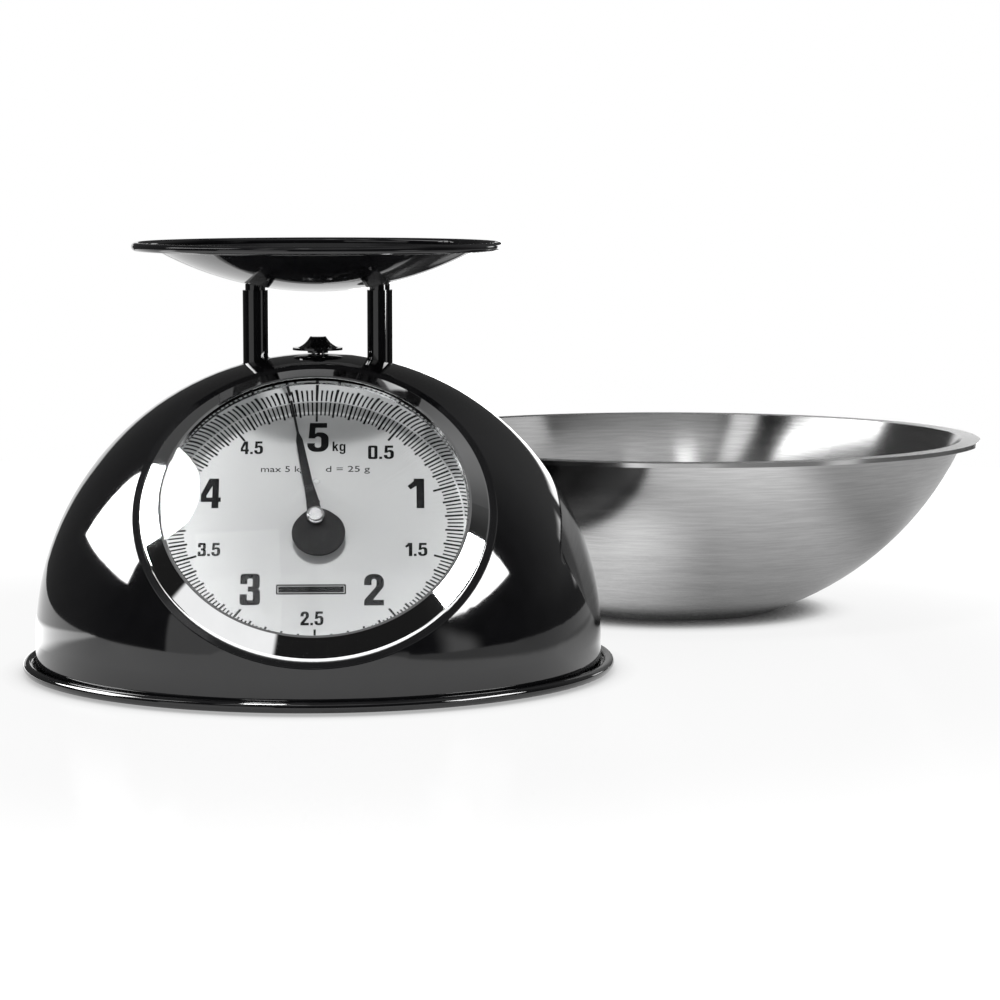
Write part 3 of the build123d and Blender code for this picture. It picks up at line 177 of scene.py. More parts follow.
@dataclass(frozen=True)
class GlossEnamel:
    """Baked gloss paint on pressed sheet, with a faint orange peel and a little waviness."""

    name: str
    color: Triple = (0.004, 0.004, 0.0045)
    lighter: float = 2.2
    mottle: float = 140.0
    haze: float = 60.0
    roughness: Point = (0.03, 0.075)
    peel: float = 900.0
    peel_depth: float = 0.5e-6
    wave: float = 34.0
    wave_depth: float = 55e-6
    ripple: float = 190.0
    ripple_depth: float = 16e-6
    ripple_patches: Point = (0.42, 0.62)

    def make(self) -> bpy.types.Material:
        """Gives the material."""
        mix = Recipe(bpy.data.materials.new(self.name))
        at = mix.place()
        peel = mix.bump(mix.noise(at, self.peel), self.peel_depth)
        patchy = mix.gate(mix.noise(at, self.wave), *self.ripple_patches)
        ripple = mix.sum("MULTIPLY", mix.noise(at, self.ripple, detail=1.0), patchy)
        relief = mix.bump(ripple, self.ripple_depth, peel)
        mottle = mix.noise(at, self.mottle, detail=4.0)
        return mix.coat({
            "Base Color": mix.shade(mottle, self.color, tinted(self.color, self.lighter)),
            "Roughness": mix.span(mix.noise(at, self.haze, detail=5.0), *self.roughness),
            "Normal": mix.bump(mix.noise(at, self.wave, detail=1.0), self.wave_depth, relief),
        })


@dataclass(frozen=True)
class PolishedMetal:
    """Bright metal, from mirror chrome to machined steel."""

    name: str
    color: Triple
    roughness: Point
    grain: float = 400.0
    grain_depth: float = 0.2e-6
    wave: float = 60.0
    wave_depth: float = 8e-6
    stain: float = 90.0
    darker: float = 0.9
    haze: float = 250.0

    def make(self) -> bpy.types.Material:
        """Gives the material."""
        mix = Recipe(bpy.data.materials.new(self.name))
        at = mix.place()
        fine = mix.bump(mix.noise(at, self.grain, detail=3.0), self.grain_depth)
        stain = mix.noise(at, self.stain, detail=4.0)
        return mix.coat({
            "Base Color": mix.shade(stain, tinted(self.color, self.darker), self.color),
            "Metallic": 1.0,
            "Roughness": mix.span(mix.noise(at, self.haze, detail=4.0), *self.roughness),
            "Normal": mix.bump(mix.noise(at, self.wave, detail=1.0), self.wave_depth, fine),
        })


@dataclass(frozen=True)
class SpunSteel:
    """Stainless sheet spun on a former and brushed round its axis."""

    name: str
    axis: Point
    color: Triple = (0.55, 0.55, 0.55)
    darker: float = 0.81
    change_round: float = 0.008
    streak: float = 900.0
    streak_edges: Point = (0.3, 0.7)
    streak_share: float = 0.6
    streak_depth: float = 1.2e-6
    band: float = 130.0
    band_edges: Point = (0.35, 0.65)
    band_depth: float = 3e-6
    roughness: Point = (0.13, 0.21)
    anisotropy: float = 0.75
    quarter_turn: float = 0.25

    def make(self) -> bpy.types.Material:
        """Gives the material."""
        mix = Recipe(bpy.data.materials.new(self.name))
        away = mix.vector("SUBTRACT", mix.place(), (*self.axis, 0.0)).outputs[0]
        height = mix.add("ShaderNodeSeparateXYZ", {0: away}).outputs["Z"]
        flat = mix.vector("MULTIPLY", away, (1.0, 1.0, 0.0)).outputs[0]
        radius = mix.vector("LENGTH", flat).outputs["Value"]
        unit = mix.vector("NORMALIZE", flat).outputs[0]
        turn = mix.vector("MULTIPLY", unit, (self.change_round, self.change_round, 0.0)).outputs[0]
        rise = mix.add("ShaderNodeCombineXYZ", {"Z": mix.sum("ADD", radius, height)}).outputs[0]
        ring = mix.vector("ADD", turn, rise).outputs[0]
        streak = mix.gate(mix.noise(ring, self.streak, detail=4.0), *self.streak_edges)
        band = mix.noise(ring, self.band, detail=3.0)
        fine = mix.sum("MULTIPLY", streak, self.streak_share)
        broad = mix.sum("MULTIPLY", mix.gate(band, *self.band_edges), 1.0 - self.streak_share)
        tone = mix.sum("ADD", fine, broad)
        across = mix.vector("CROSS_PRODUCT", unit, (0.0, 0.0, 1.0)).outputs[0]
        return mix.coat({
            "Base Color": mix.shade(tone, tinted(self.color, self.darker), self.color),
            "Metallic": 1.0,
            "Roughness": mix.span(band, *self.roughness),
            "Anisotropic": self.anisotropy,
            "Anisotropic Rotation": self.quarter_turn,
            "Tangent": across,
            "Normal": mix.bump(band, self.band_depth, mix.bump(streak, self.streak_depth)),
        })


@dataclass(frozen=True)
class SunraySilver:
    """Satin silver lacquer on a dial that is brushed outwards from its middle."""

    name: str
    place: Matrix
    color: Triple = (0.63, 0.63, 0.63)
    darker: float = 0.9
    lean: float = math.radians(4.0)
    streak: float = 90.0
    cloud: float = 900.0
    cloud_depth: float = 0.02e-6
    metallic: float = 0.4
    roughness: Point = (0.1, 0.125)
    anisotropy: float = 0.6

    def make(self) -> bpy.types.Material:
        """Gives the material."""
        mix = Recipe(bpy.data.materials.new(self.name))
        across, up, out, middle = (tuple(self.place.col[k])[:3] for k in range(4))
        away = mix.vector("SUBTRACT", mix.place(), middle).outputs[0]
        turn = mix.vector("NORMALIZE", mix.vector("CROSS_PRODUCT", out, away).outputs[0]).outputs[0]
        ray = mix.add("ShaderNodeCombineXYZ", {
            "X": mix.vector("DOT_PRODUCT", turn, across).outputs["Value"],
            "Y": mix.vector("DOT_PRODUCT", turn, up).outputs["Value"],
        }).outputs[0]
        streak = mix.noise(ray, self.streak, detail=4.0)
        cloud = mix.noise(away, self.cloud, detail=3.0)
        face = mix.add("ShaderNodeNewGeometry").outputs["Normal"]
        tip = tuple(-math.tan(self.lean) * part for part in up)
        leaned = mix.vector("NORMALIZE", mix.vector("ADD", face, tip).outputs[0]).outputs[0]
        return mix.coat({
            "Base Color": mix.shade(streak, tinted(self.color, self.darker), self.color),
            "Metallic": self.metallic,
            "Roughness": mix.span(cloud, *self.roughness),
            "Anisotropic": self.anisotropy,
            "Tangent": turn,
            "Normal": mix.bump(cloud, self.cloud_depth, leaned),
        })


@dataclass(frozen=True)
class ClearLens:
    """A clear moulded dial cover that lets light through to the dial."""

    name: str
    color: Triple = (0.985, 0.99, 0.99)
    lit_through: Triple = (0.97, 0.98, 0.98)
    haze: float = 300.0
    roughness: Point = (0.0, 0.012)
    ior: float = 1.22

    def make(self) -> bpy.types.Material:
        """Gives the material."""
        mix = Recipe(bpy.data.materials.new(self.name))
        at = mix.place()
        clear = mix.add("ShaderNodeBsdfPrincipled", {
            "Base Color": (*self.color, 1.0),
            "Roughness": mix.span(mix.noise(at, self.haze, detail=4.0), *self.roughness),
            "IOR": self.ior,
            "Transmission Weight": 1.0,
        }).outputs[0]
        through = mix.add("ShaderNodeBsdfTransparent", {"Color": (*self.lit_through, 1.0)}).outputs[0]
        path = mix.add("ShaderNodeLightPath").outputs
        lighting = mix.sum("MAXIMUM", path["Is Shadow Ray"], path["Is Diffuse Ray"])
        return mix.finish(mix.add("ShaderNodeMixShader", {0: lighting, 1: clear, 2: through}).outputs[0])


@dataclass(frozen=True)
class MattFinish:
    """Ink, paint, rubber or moulded plastic with a fine tooth."""

    name: str
    color: Triple
    roughness: Point
    tooth: float = 2500.0
    tooth_depth: float = 2e-6
    sheen: float = 0.5
    lighter: float = 1.35

    def make(self) -> bpy.types.Material:
        """Gives the material."""
        mix = Recipe(bpy.data.materials.new(self.name))
        at = mix.place()
        mottle = mix.noise(at, self.tooth / 4, detail=4.0)
        return mix.coat({
            "Base Color": mix.shade(mottle, self.color, tinted(self.color, self.lighter)),
            "Roughness": mix.span(mix.noise(at, self.tooth / 2, detail=3.0), *self.roughness),
            "Specular IOR Level": self.sheen,
            "Normal": mix.bump(mix.noise(at, self.tooth), self.tooth_depth),
        })


class Palette:
    """Every finish of the scale, made once."""

    def __init__(self, bowl_axis: Point, dial: Matrix) -> None:
        """Makes the finishes.

        Args:
            bowl_axis: Where the axis stands that the bowl is brushed round.
            dial: The dial's own frame, whose middle its brushing starts from.
        """
        self.enamel = GlossEnamel("gloss_black_enamel").make()
        self.knob = GlossEnamel("gloss_black_moulding", peel=1500.0, wave_depth=4e-6,
                                ripple_depth=1e-6).make()
        self.chrome = PolishedMetal("mirror_chrome", (0.88, 0.885, 0.89), (0.015, 0.05)).make()
        self.steel = PolishedMetal("machined_steel", (0.62, 0.62, 0.63), (0.12, 0.25), 1200.0, 1e-6).make()
        self.wire = PolishedMetal("drawn_spring_wire", (0.36, 0.36, 0.37), (0.2, 0.35), 1500.0, 1e-6).make()
        self.zinc = PolishedMetal("zinc_plated_sheet", (0.56, 0.57, 0.59), (0.28, 0.45), 220.0, 2e-6).make()
        self.brass = PolishedMetal("plain_brass", (0.74, 0.56, 0.26), (0.16, 0.3), 600.0, 1e-6).make()
        self.spun = SpunSteel("spun_stainless", bowl_axis).make()
        self.silver = SunraySilver("sunray_silver_dial", dial).make()
        self.lens = ClearLens("clear_dial_cover").make()
        self.ink = MattFinish("printed_black_ink", (0.005, 0.005, 0.0055), (0.4, 0.55), sheen=0.05).make()
        self.needle = MattFinish("satin_dark_paint", (0.012, 0.012, 0.0125), (0.3, 0.42), sheen=0.12).make()
        # Painted highlight: a pale matt grey stands in for the glint of the steel stop rivet.
        self.pin = MattFinish("pale_stop_pin_painted_glint", (0.7, 0.7, 0.7), (0.25, 0.4)).make()
        self.rubber = MattFinish("matt_black_rubber", (0.02, 0.02, 0.02), (0.75, 0.9), 900.0, 6e-6).make()


class Workbench:
    """Bench work that every sub-assembly shares."""

    @staticmethod
    def clear() -> None:
        """Leaves the edit mode and deselects everything."""
        if bpy.context.mode != "OBJECT":
            bpy.ops.object.mode_set(mode="OBJECT")
        bpy.ops.object.select_all(action="DESELECT")

    @staticmethod
    def hold(piece: bpy.types.Object) -> None:
        """Selects one piece alone.

        Args:
            piece: The piece that becomes the active one.
        """
        Workbench.clear()
        piece.select_set(True)
        bpy.context.view_layer.objects.active = piece

    @staticmethod
    def dress(material: bpy.types.Material, *nodes: str) -> None:
        """Puts a finish on solids of the frame.

        Args:
            material: The finish.
            *nodes: The solids' names.
        """
        for name in nodes:
            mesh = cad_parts[name].data
            mesh.materials.clear()
            mesh.materials.append(material)
            LOG.info("%s is dressed in %s", name, material.name)

    @staticmethod
    def settle(piece: bpy.types.Object, place: Matrix) -> bpy.types.Object:
        """Moves a piece to its place and leaves the object itself at the origin.

        Args:
            piece: The piece.
            place: The move, from where the piece is now.

        Returns:
            The same piece.
        """
        Workbench.hold(piece)
        piece.matrix_world = place @ piece.matrix_world
        bpy.ops.object.transform_apply(location=True, rotation=True, scale=True)
        return piece

    @staticmethod
    def close(piece: bpy.types.Object) -> None:
        """Merges doubled points and turns every face outwards.

        Args:
            piece: The piece that is closed.
        """
        Workbench.hold(piece)
        bpy.ops.object.mode_set(mode="EDIT")
        bpy.ops.mesh.select_all(action="SELECT")
        bpy.ops.mesh.remove_doubles(threshold=MERGE_DISTANCE)
        bpy.ops.mesh.normals_make_consistent(inside=False)
        bpy.ops.object.mode_set(mode="OBJECT")

    @staticmethod
    def lathe(name: str, outline: Sequence[Point], steps: int, place: Matrix) -> bpy.types.Object:
        """Spins an outline round the level axis.

        Args:
            name: The piece's name.
            outline: Radius and level of each point, in metres.
            steps: Faces in one turn.
            place: Where the axis goes.

        Returns:
            The new piece.
        """
        Workbench.clear()
        bpy.ops.mesh.primitive_plane_add(size=MM)
        piece = bpy.context.object
        piece.name = name
        bpy.ops.object.mode_set(mode="EDIT")
        bpy.ops.mesh.select_all(action="SELECT")
        bpy.ops.mesh.merge(type="CENTER")
        bpy.ops.transform.translate(value=(outline[0][0], 0.0, outline[0][1]))
        for near, far in zip(outline, outline[1:]):
            step = {"value": (far[0] - near[0], 0.0, far[1] - near[1])}
            bpy.ops.mesh.extrude_vertices_move(TRANSFORM_OT_translate=step)
        bpy.ops.mesh.select_all(action="SELECT")
        bpy.ops.mesh.spin(steps=steps, angle=FULL_TURN, center=(0, 0, 0), axis=(0, 0, 1))
        Workbench.close(piece)
        bpy.ops.object.shade_smooth_by_angle(angle=SMOOTH_ANGLE)
        return Workbench.settle(piece, place)

    @staticmethod
    def fit_out(piece: bpy.types.Object, material: bpy.types.Material, body: Body, slot: Slot) -> None:
        """Gives a new piece its finish and its body, and reports it.

        Args:
            piece: The new piece.
            material: Its finish.
            body: The moving group that carries it.
            slot: The record's finish that it stands for; not used.
        """
        piece.data.materials.clear()
        piece.data.materials.append(material)
        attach(piece, body.value)
        LOG.info("%s rides on %s with %d faces", piece.name, body.value, len(piece.data.polygons))


@dataclass(frozen=True)
class DialPlane:
    """The tilted plane that the dial, its cover and its bezel are set out on."""

    center_height: float = 11.5 * MM
    tilt: float = math.radians(39.5)
    level: float = 70.14 * MM

    def place(self) -> Matrix:
        """Sets out the dial.

        Returns:
            The dial's own frame: x to the right, y up the dial, z out of it.
        """
        out = Vector((0.0, -math.cos(self.tilt), math.sin(self.tilt)))
        across = Vector((1.0, 0.0, 0.0))
        up = out.cross(across)
        middle = Vector((0.0, 0.0, self.center_height)) + self.level * out
        place = Matrix.Identity(4)
        for column, way in enumerate((across, up, out, middle)):
            place.col[column][:3] = way
        return place


class Letterform:
    """Heavy narrow numerals and a unit's letters, as corners (x, y, rounding) on a body ten units high."""

    GAP = 1.0
    ARC_STEPS = 6
    SHAPES: dict[str, tuple[Outline, ...]] = {
        "0": (
            ((0, 0, 1.1), (0, 10, 1.1), (5.6, 10, 1.1), (5.6, 0, 1.1)),
            ((1.9, 1.5, 0.3), (3.7, 1.5, 0.3), (3.7, 8.5, 0.3), (1.9, 8.5, 0.3)),
        ),
        "1": (
            ((1.75, 10), (4.7, 10), (4.7, 0), (2.5, 0), (2.5, 7.55), (0.85, 6.35), (0, 7.55), (1.75, 9.2)),
        ),
        "2": (
            ((0, 6.45), (0, 10, 2.4), (5.6, 10, 2.4), (5.6, 6.0, 1.9), (2.5, 1.75), (5.6, 1.75), (5.6, 0),
             (0, 0), (0, 1.7, 1.2), (3.5, 6.1, 1.4), (3.5, 8.45, 0.72), (2.1, 8.45, 0.72), (2.1, 6.45)),
        ),
        "3": (
            ((0.1, 6.7), (0.1, 10, 1.0), (5.45, 10, 1.2), (5.45, 5.8, 0.5), (4.95, 5.15, 0.2),
             (5.6, 4.5, 0.5), (5.6, 0, 1.2), (0, 0, 1.0), (0, 3.45), (1.95, 3.45), (1.95, 1.55, 0.3),
             (3.6, 1.55, 0.3), (3.6, 4.3, 0.35), (2.2, 4.3), (2.2, 5.9), (3.5, 5.9, 0.35),
             (3.5, 8.45, 0.3), (2.05, 8.45, 0.3), (2.05, 6.7)),
        ),
        "4": (
            ((2.3, 10), (5.0, 10), (5.0, 3.6), (5.6, 3.6), (5.6, 2.1), (5.0, 2.1), (5.0, 0), (3.05, 0),
             (3.05, 2.1), (0, 2.1), (0, 4.6)),
            ((1.6, 3.6), (3.2, 3.6), (3.2, 7.5), (1.6, 4.25)),
        ),
        "5": (
            ((0.7, 10), (5.55, 10), (5.55, 8.35), (2.3, 8.35), (2.2, 6.25), (2.9, 6.75, 0.5),
             (6.0, 6.75, 2.2), (6.0, 0, 2.6), (0, 0, 2.4), (0, 3.0), (2.1, 3.0), (2.1, 1.45, 0.8),
             (3.9, 1.45, 0.8), (3.9, 5.3, 0.85), (2.2, 5.3, 0.7), (2.2, 4.65), (0.35, 4.65)),
        ),
        ".": (((0, 0), (0, 1.75), (1.75, 1.75), (1.75, 0)),),
        "k": (
            ((0, 0), (0, 10), (1.9, 10), (1.9, 5.0), (3.7, 7.2), (5.8, 7.2), (3.7, 4.65), (6.0, 0), (3.95, 0),
             (2.5, 3.1), (1.9, 2.4), (1.9, 0)),
        ),
        "g": (
            ((0, 7.4, 2.0), (3.6, 7.4, 1.0), (4.1, 6.4), (4.1, 7.2), (5.9, 7.2), (5.9, -3.0, 2.2),
             (0.2, -3.0, 1.6), (0.2, -0.7), (2.0, -0.7), (2.0, -1.6, 0.4), (4.05, -1.6, 0.6), (4.05, 0.9),
             (3.6, 0.1, 1.0), (0, 0.1, 2.0)),
            ((1.85, 1.6, 0.8), (1.85, 5.9, 0.8), (4.05, 5.9, 0.8), (4.05, 1.6, 0.8)),
        ),
    }

    @classmethod
    def rounded(cls, outline: Outline) -> Iterator[Vector]:
        """Goes round an outline and lays an arc at each corner that has a rounding.

        Args:
            outline: The corners, some with a rounding.

        Returns:
            The points of the rounded outline, in order.
        """
        count = len(outline)
        for k, corner in enumerate(outline):
            here = Vector(corner[:2])
            radius = corner[2] if len(corner) > 2 else 0.0
            if not radius:
                yield here
                continue
            back = (Vector(outline[k - 1][:2]) - here).normalized()
            ahead = (Vector(outline[(k + 1) % count][:2]) - here).normalized()
            half = back.angle(ahead) / 2
            reach = radius / math.tan(half)
            middle = here + (back + ahead).normalized() * (radius / math.sin(half))
            first, last = (math.atan2(*reversed(here + way * reach - middle)) for way in (back, ahead))
            sweep = (last - first + math.pi) % FULL_TURN - math.pi
            for step in range(cls.ARC_STEPS + 1):
                angle = first + sweep * step / cls.ARC_STEPS
                yield middle + radius * Vector((math.cos(angle), math.sin(angle)))

    @classmethod
    def set_line(cls, text: str) -> Iterator[list[Vector]]:
        """Sets the outlines of a line of numerals or letters side by side.

        Args:
            text: The line.

        Returns:
            The closed outlines, from left to right.
        """
        pen = 0.0
        for letter in text:
            shapes = [list(cls.rounded(outline)) for outline in cls.SHAPES[letter]]
            for shape in shapes:
                yield [point + Vector((pen, 0.0)) for point in shape]
            pen += max(point.x for point in shapes[0]) + cls.GAP


@dataclass(frozen=True)
class Print:
    """A printed number or word and the box that it fills on the dial, in millimetres."""

    text: str
    x: float
    y: float
    width: float
    height: float
    drawn: bool = True


@dataclass(frozen=True)
class TickRow:
    """One kind of tick: its size and its numbers within a group that repeats round the dial."""

    name: str
    length: float
    width: float
    first: int
    step: int
    count: int
    group: int


@dataclass
class DialFace:
    """The dial's printed scale, numbers, plain bar and stop rivet."""

    plane: DialPlane
    ink_height: float = 0.04 * MM
    ink_sink: float = 0.01 * MM
    raw_depth: float = 0.5
    caption_steps: int = 4
    tick_edge: float = 48.6 * MM
    divisions: int = 200
    rows: tuple[TickRow, ...] = (
        TickRow("dial_ticks_short", 5.3 * MM, 0.54 * MM, 1, 1, 3, 4),
        TickRow("dial_ticks_middle", 6.0 * MM, 0.72 * MM, 4, 4, 4, 20),
        TickRow("dial_ticks_long", 7.9 * MM, 0.75 * MM, 0, 1, 1, 20),
    )
    bar: Print = Print("", -1.3, -25.5, 22.7, 3.8)
    bar_line: float = 0.25
    bar_inset: float = 0.5
    bar_corner: float = 0.45
    rivet_middle: Point = (0.1 * MM, 16.4 * MM)
    rivet_radius: float = 1.0 * MM
    rivet_height: float = 0.5 * MM
    rivet_steps: int = 8
    rivet_sides: int = 32
    prints: tuple[Print, ...] = (
        Print("5", 0.47, 34.3, 7.1, 11.7),
        Print("1", 33.0, 11.7, 5.5, 11.7),
        Print("2", 19.1, -25.7, 6.4, 12.0),
        Print("3", -21.05, -25.4, 6.6, 12.0),
        Print("4", -34.65, 12.0, 6.6, 11.7),
        Print("0.5", 21.5, 28.2, 8.6, 5.4),
        Print("1.5", 32.9, -10.3, 7.3, 5.1),
        Print("2.5", -0.9, -36.5, 7.4, 5.2),
        Print("3.5", -34.7, -10.0, 7.3, 5.1),
        Print("4.5", -21.5, 30.2, 7.4, 5.1),
        Print("kg", 7.5, 30.1, 4.3, 5.0),
        Print("max 5 kg", -11.0, 21.2, 14.6, 3.1, False),
        Print("d = 25 g", 10.5, 21.2, 14.6, 3.1, False),
    )

    def build(self, palette: Palette) -> None:
        """Builds every printed piece and dresses the dial plate.

        Args:
            palette: The finishes.
        """
        Workbench.dress(palette.silver, "dial_plate")
        for piece in [*self.ticks(), *self.words()]:
            Workbench.fit_out(piece, palette.ink, Body.HOUSING, Slot.INK)
        # The rivet's pale matt finish is a painted highlight for its steel glint.
        Workbench.fit_out(self.rivet(), palette.pin, Body.HOUSING, Slot.STEEL)

    def slab(self, name: str, size: Point, middle: Point) -> bpy.types.Object:
        """Adds a flat slab of ink in the dial's own frame.

        Args:
            name: The piece's name.
            size: Width and height.
            middle: Its middle, across and up the dial.

        Returns:
            The slab, still lying in the plane of the table.
        """
        Workbench.clear()
        bpy.ops.mesh.primitive_cube_add(size=1.0)
        piece = bpy.context.object
        piece.name = name
        thick = self.ink_height + self.ink_sink
        bpy.ops.object.mode_set(mode="EDIT")
        bpy.ops.mesh.select_all(action="SELECT")
        bpy.ops.transform.resize(value=(size[0], size[1], thick))
        bpy.ops.transform.translate(value=(*middle, thick / 2 - self.ink_sink))
        bpy.ops.object.mode_set(mode="OBJECT")
        return piece

    def ticks(self) -> Iterator[bpy.types.Object]:
        """Models one tick of each kind and spins copies of it round the dial.

        Returns:
            One piece for each kind of tick.
        """
        unit = FULL_TURN / self.divisions
        for row in self.rows:
            piece = self.slab(row.name, (row.width, row.length), (0.0, self.tick_edge - row.length / 2))
            Workbench.settle(piece, Matrix.Rotation(-unit * row.first, 4, "Z"))
            bpy.ops.object.mode_set(mode="EDIT")
            groups = self.divisions // row.group
            for copies, stride in ((row.count - 1, row.step), (groups - 1, row.group)):
                if copies:
                    bpy.ops.mesh.select_all(action="SELECT")
                    bpy.ops.mesh.spin(steps=copies, dupli=True, angle=unit * stride * copies,
                                      center=(0, 0, 0), axis=(0, 0, 1))
            Workbench.close(piece)
            yield Workbench.settle(piece, self.plane.place())

    def words(self) -> Iterator[bpy.types.Object]:
        """Sets each number, each caption and the plain bar in its box on the dial.

        Returns:
            The printed pieces.
        """
        for number, item in enumerate(self.prints):
            piece = self.drawn(Letterform.set_line(item.text)) if item.drawn else self.typed(item.text)
            yield self.printed(piece, f"dial_print_{number:02d}", item)
        nested = (Letterform.rounded(outline) for outline in self.bar_outlines())
        yield self.printed(self.drawn(nested), "dial_bar", self.bar)

    def printed(self, piece: bpy.types.Object, name: str, item: Print) -> bpy.types.Object:
        """Turns flat lettering to a layer of ink.

        Args:
            piece: The lettering, as a filled curve or as text.
            name: The new piece's name.
            item: The box on the dial that the lettering fills.

        Returns:
            The layer of ink.
        """
        piece.name = name
        piece.data.extrude = self.raw_depth
        bpy.ops.object.convert(target="MESH")
        piece = bpy.context.object
        places = [vertex.co for vertex in piece.data.vertices]
        low, high = (Vector(map(pick, zip(*places))) for pick in (min, max))
        size = high - low
        thick = self.ink_height + self.ink_sink
        scale = (item.width * MM / size.x, item.height * MM / size.y, thick / size.z, 1.0)
        at = Vector((item.x * MM, item.y * MM, thick / 2 - self.ink_sink))
        fit = Matrix.Translation(at) @ Matrix.Diagonal(scale) @ Matrix.Translation(-(low + high) / 2)
        Workbench.settle(piece, self.plane.place() @ fit)
        Workbench.close(piece)
        return piece

    def typed(self, text: str) -> bpy.types.Object:
        """Types a small caption in the plain light letters.

        Args:
            text: The caption.

        Returns:
            The caption, as text.
        """
        Workbench.clear()
        bpy.ops.object.text_add()
        piece = bpy.context.object
        piece.data.body = text
        piece.data.resolution_u = self.caption_steps
        return piece

    @staticmethod
    def drawn(shapes: Iterable[Iterable[Vector]]) -> bpy.types.Object:
        """Draws closed outlines as one flat curve that is filled between them.

        Args:
            shapes: The points of each outline.

        Returns:
            The filled curve.
        """
        curve = bpy.data.curves.new("lettering", "CURVE")
        curve.dimensions = "2D"
        curve.fill_mode = "BOTH"
        for shape in map(list, shapes):
            line = curve.splines.new("POLY")
            line.points.add(len(shape) - 1)
            for point, place in zip(line.points, shape):
                point.co = (place.x, place.y, 0.0, 1.0)
            line.use_cyclic_u = True
        piece = bpy.data.objects.new("lettering", curve)
        bpy.context.collection.objects.link(piece)
        Workbench.hold(piece)
        return piece

    def bar_outlines(self) -> Iterator[Outline]:
        """Sets out the plain bar.

        Returns:
            The bar's edge, then both edges of the bare line inside it.
        """
        for inset in (0.0, self.bar_inset, self.bar_inset + self.bar_line):
            x, y = self.bar.width / 2 - inset, self.bar.height / 2 - inset
            turn = self.bar_corner - inset / 2
            yield (-x, -y, turn), (-x, y, turn), (x, y, turn), (x, -y, turn)

    def rivet(self) -> bpy.types.Object:
        """Turns the small domed rivet above the pointer's hub.

        Returns:
            The rivet.
        """
        angles = (math.pi / 2 * k / self.rivet_steps for k in range(self.rivet_steps + 1))
        dome = [(self.rivet_radius * math.sin(a), self.rivet_height * math.cos(a)) for a in angles]
        outline = [*dome, (self.rivet_radius, -self.ink_sink), (0.0, -self.ink_sink)]
        place = self.plane.place() @ Matrix.Translation((*self.rivet_middle, 0.0))
        return Workbench.lathe("dial_rivet", outline, self.rivet_sides, place)


@dataclass
class Housing:
    """The enamelled dome with its chrome bezel, clear cover, base and feet."""

    def dress(self, palette: Palette) -> None:
        """Puts the finishes on the housing's solids.

        Args:
            palette: The finishes.
        """
        Workbench.dress(palette.enamel, "dome_shell")
        Workbench.dress(palette.chrome, "bezel_ring")
        Workbench.dress(palette.lens, "dial_lens")
        Workbench.dress(palette.rubber, "rubber_feet")
        Workbench.dress(palette.zinc, "base_plate", "shell_lugs", "chassis")
        Workbench.dress(palette.steel, "base_screws", "chassis_screws", "movement_screws",
                        "upper_pivot_pin", "lower_pivot_pin")
        Workbench.dress(palette.brass, "dial_pillars", "movement_plate_front", "movement_plate_rear",
                        "movement_pillars", "shaft_bushes")


@dataclass
class Weighing:
    """The tray on its two posts, the carrier below, the levers, the pointer and the spring."""

    def dress(self, palette: Palette) -> None:
        """Puts the finishes on the moving solids.

        Args:
            palette: The finishes.
        """
        Workbench.dress(palette.enamel, "tray", "left_post", "right_post")
        Workbench.dress(palette.steel, "tray_studs", "stud_nuts", "carrier_pins", "spring_pin", "rack",
                        "rack_screws", "pointer_shaft", "pointer_boss", "zero_screw")
        Workbench.dress(palette.zinc, "carrier_frame", "upper_lever", "lower_lever", "spring_hanger")
        Workbench.dress(palette.brass, "pinion")
        Workbench.dress(palette.needle, "pointer")
        Workbench.dress(palette.wire, "main_spring")
        Workbench.dress(palette.knob, "zero_knob")


@dataclass
class Bowl:
    """The spun steel bowl that stands beside the scale."""

    axis: Point = (137.0 * MM, 146.9 * MM)

    def dress(self, palette: Palette) -> None:
        """Puts the brushed finish on the bowl."""
        Workbench.dress(palette.spun, "bowl")


@dataclass(frozen=True)
class Card:
    """A panel of the studio as shiny surfaces see it, by azimuth from the front and elevation."""

    azimuth: Point
    elevation: Point
    strength: float
    soft: Point = (1.0, 1.0)
    lean: float = 0.0


@dataclass(frozen=True)
class CeilingPanel:
    """A panel overhead, by its run across and back for each metre of height."""

    across: Point
    back: Point
    strength: float
    soft: float = 0.004


@dataclass(frozen=True)
class Lamp:
    """A soft lamp, by its place, what it faces, its width and height, and its power.

    A lamp with solids in mirrored_in is a panel: only those solids mirror it, and it casts no other light.
    """

    name: str
    at: Triple
    target: Triple
    size: Point
    power: float
    roll: float = 0.0
    shape: str = "RECTANGLE"
    mirrored_in: tuple[str, ...] = ()


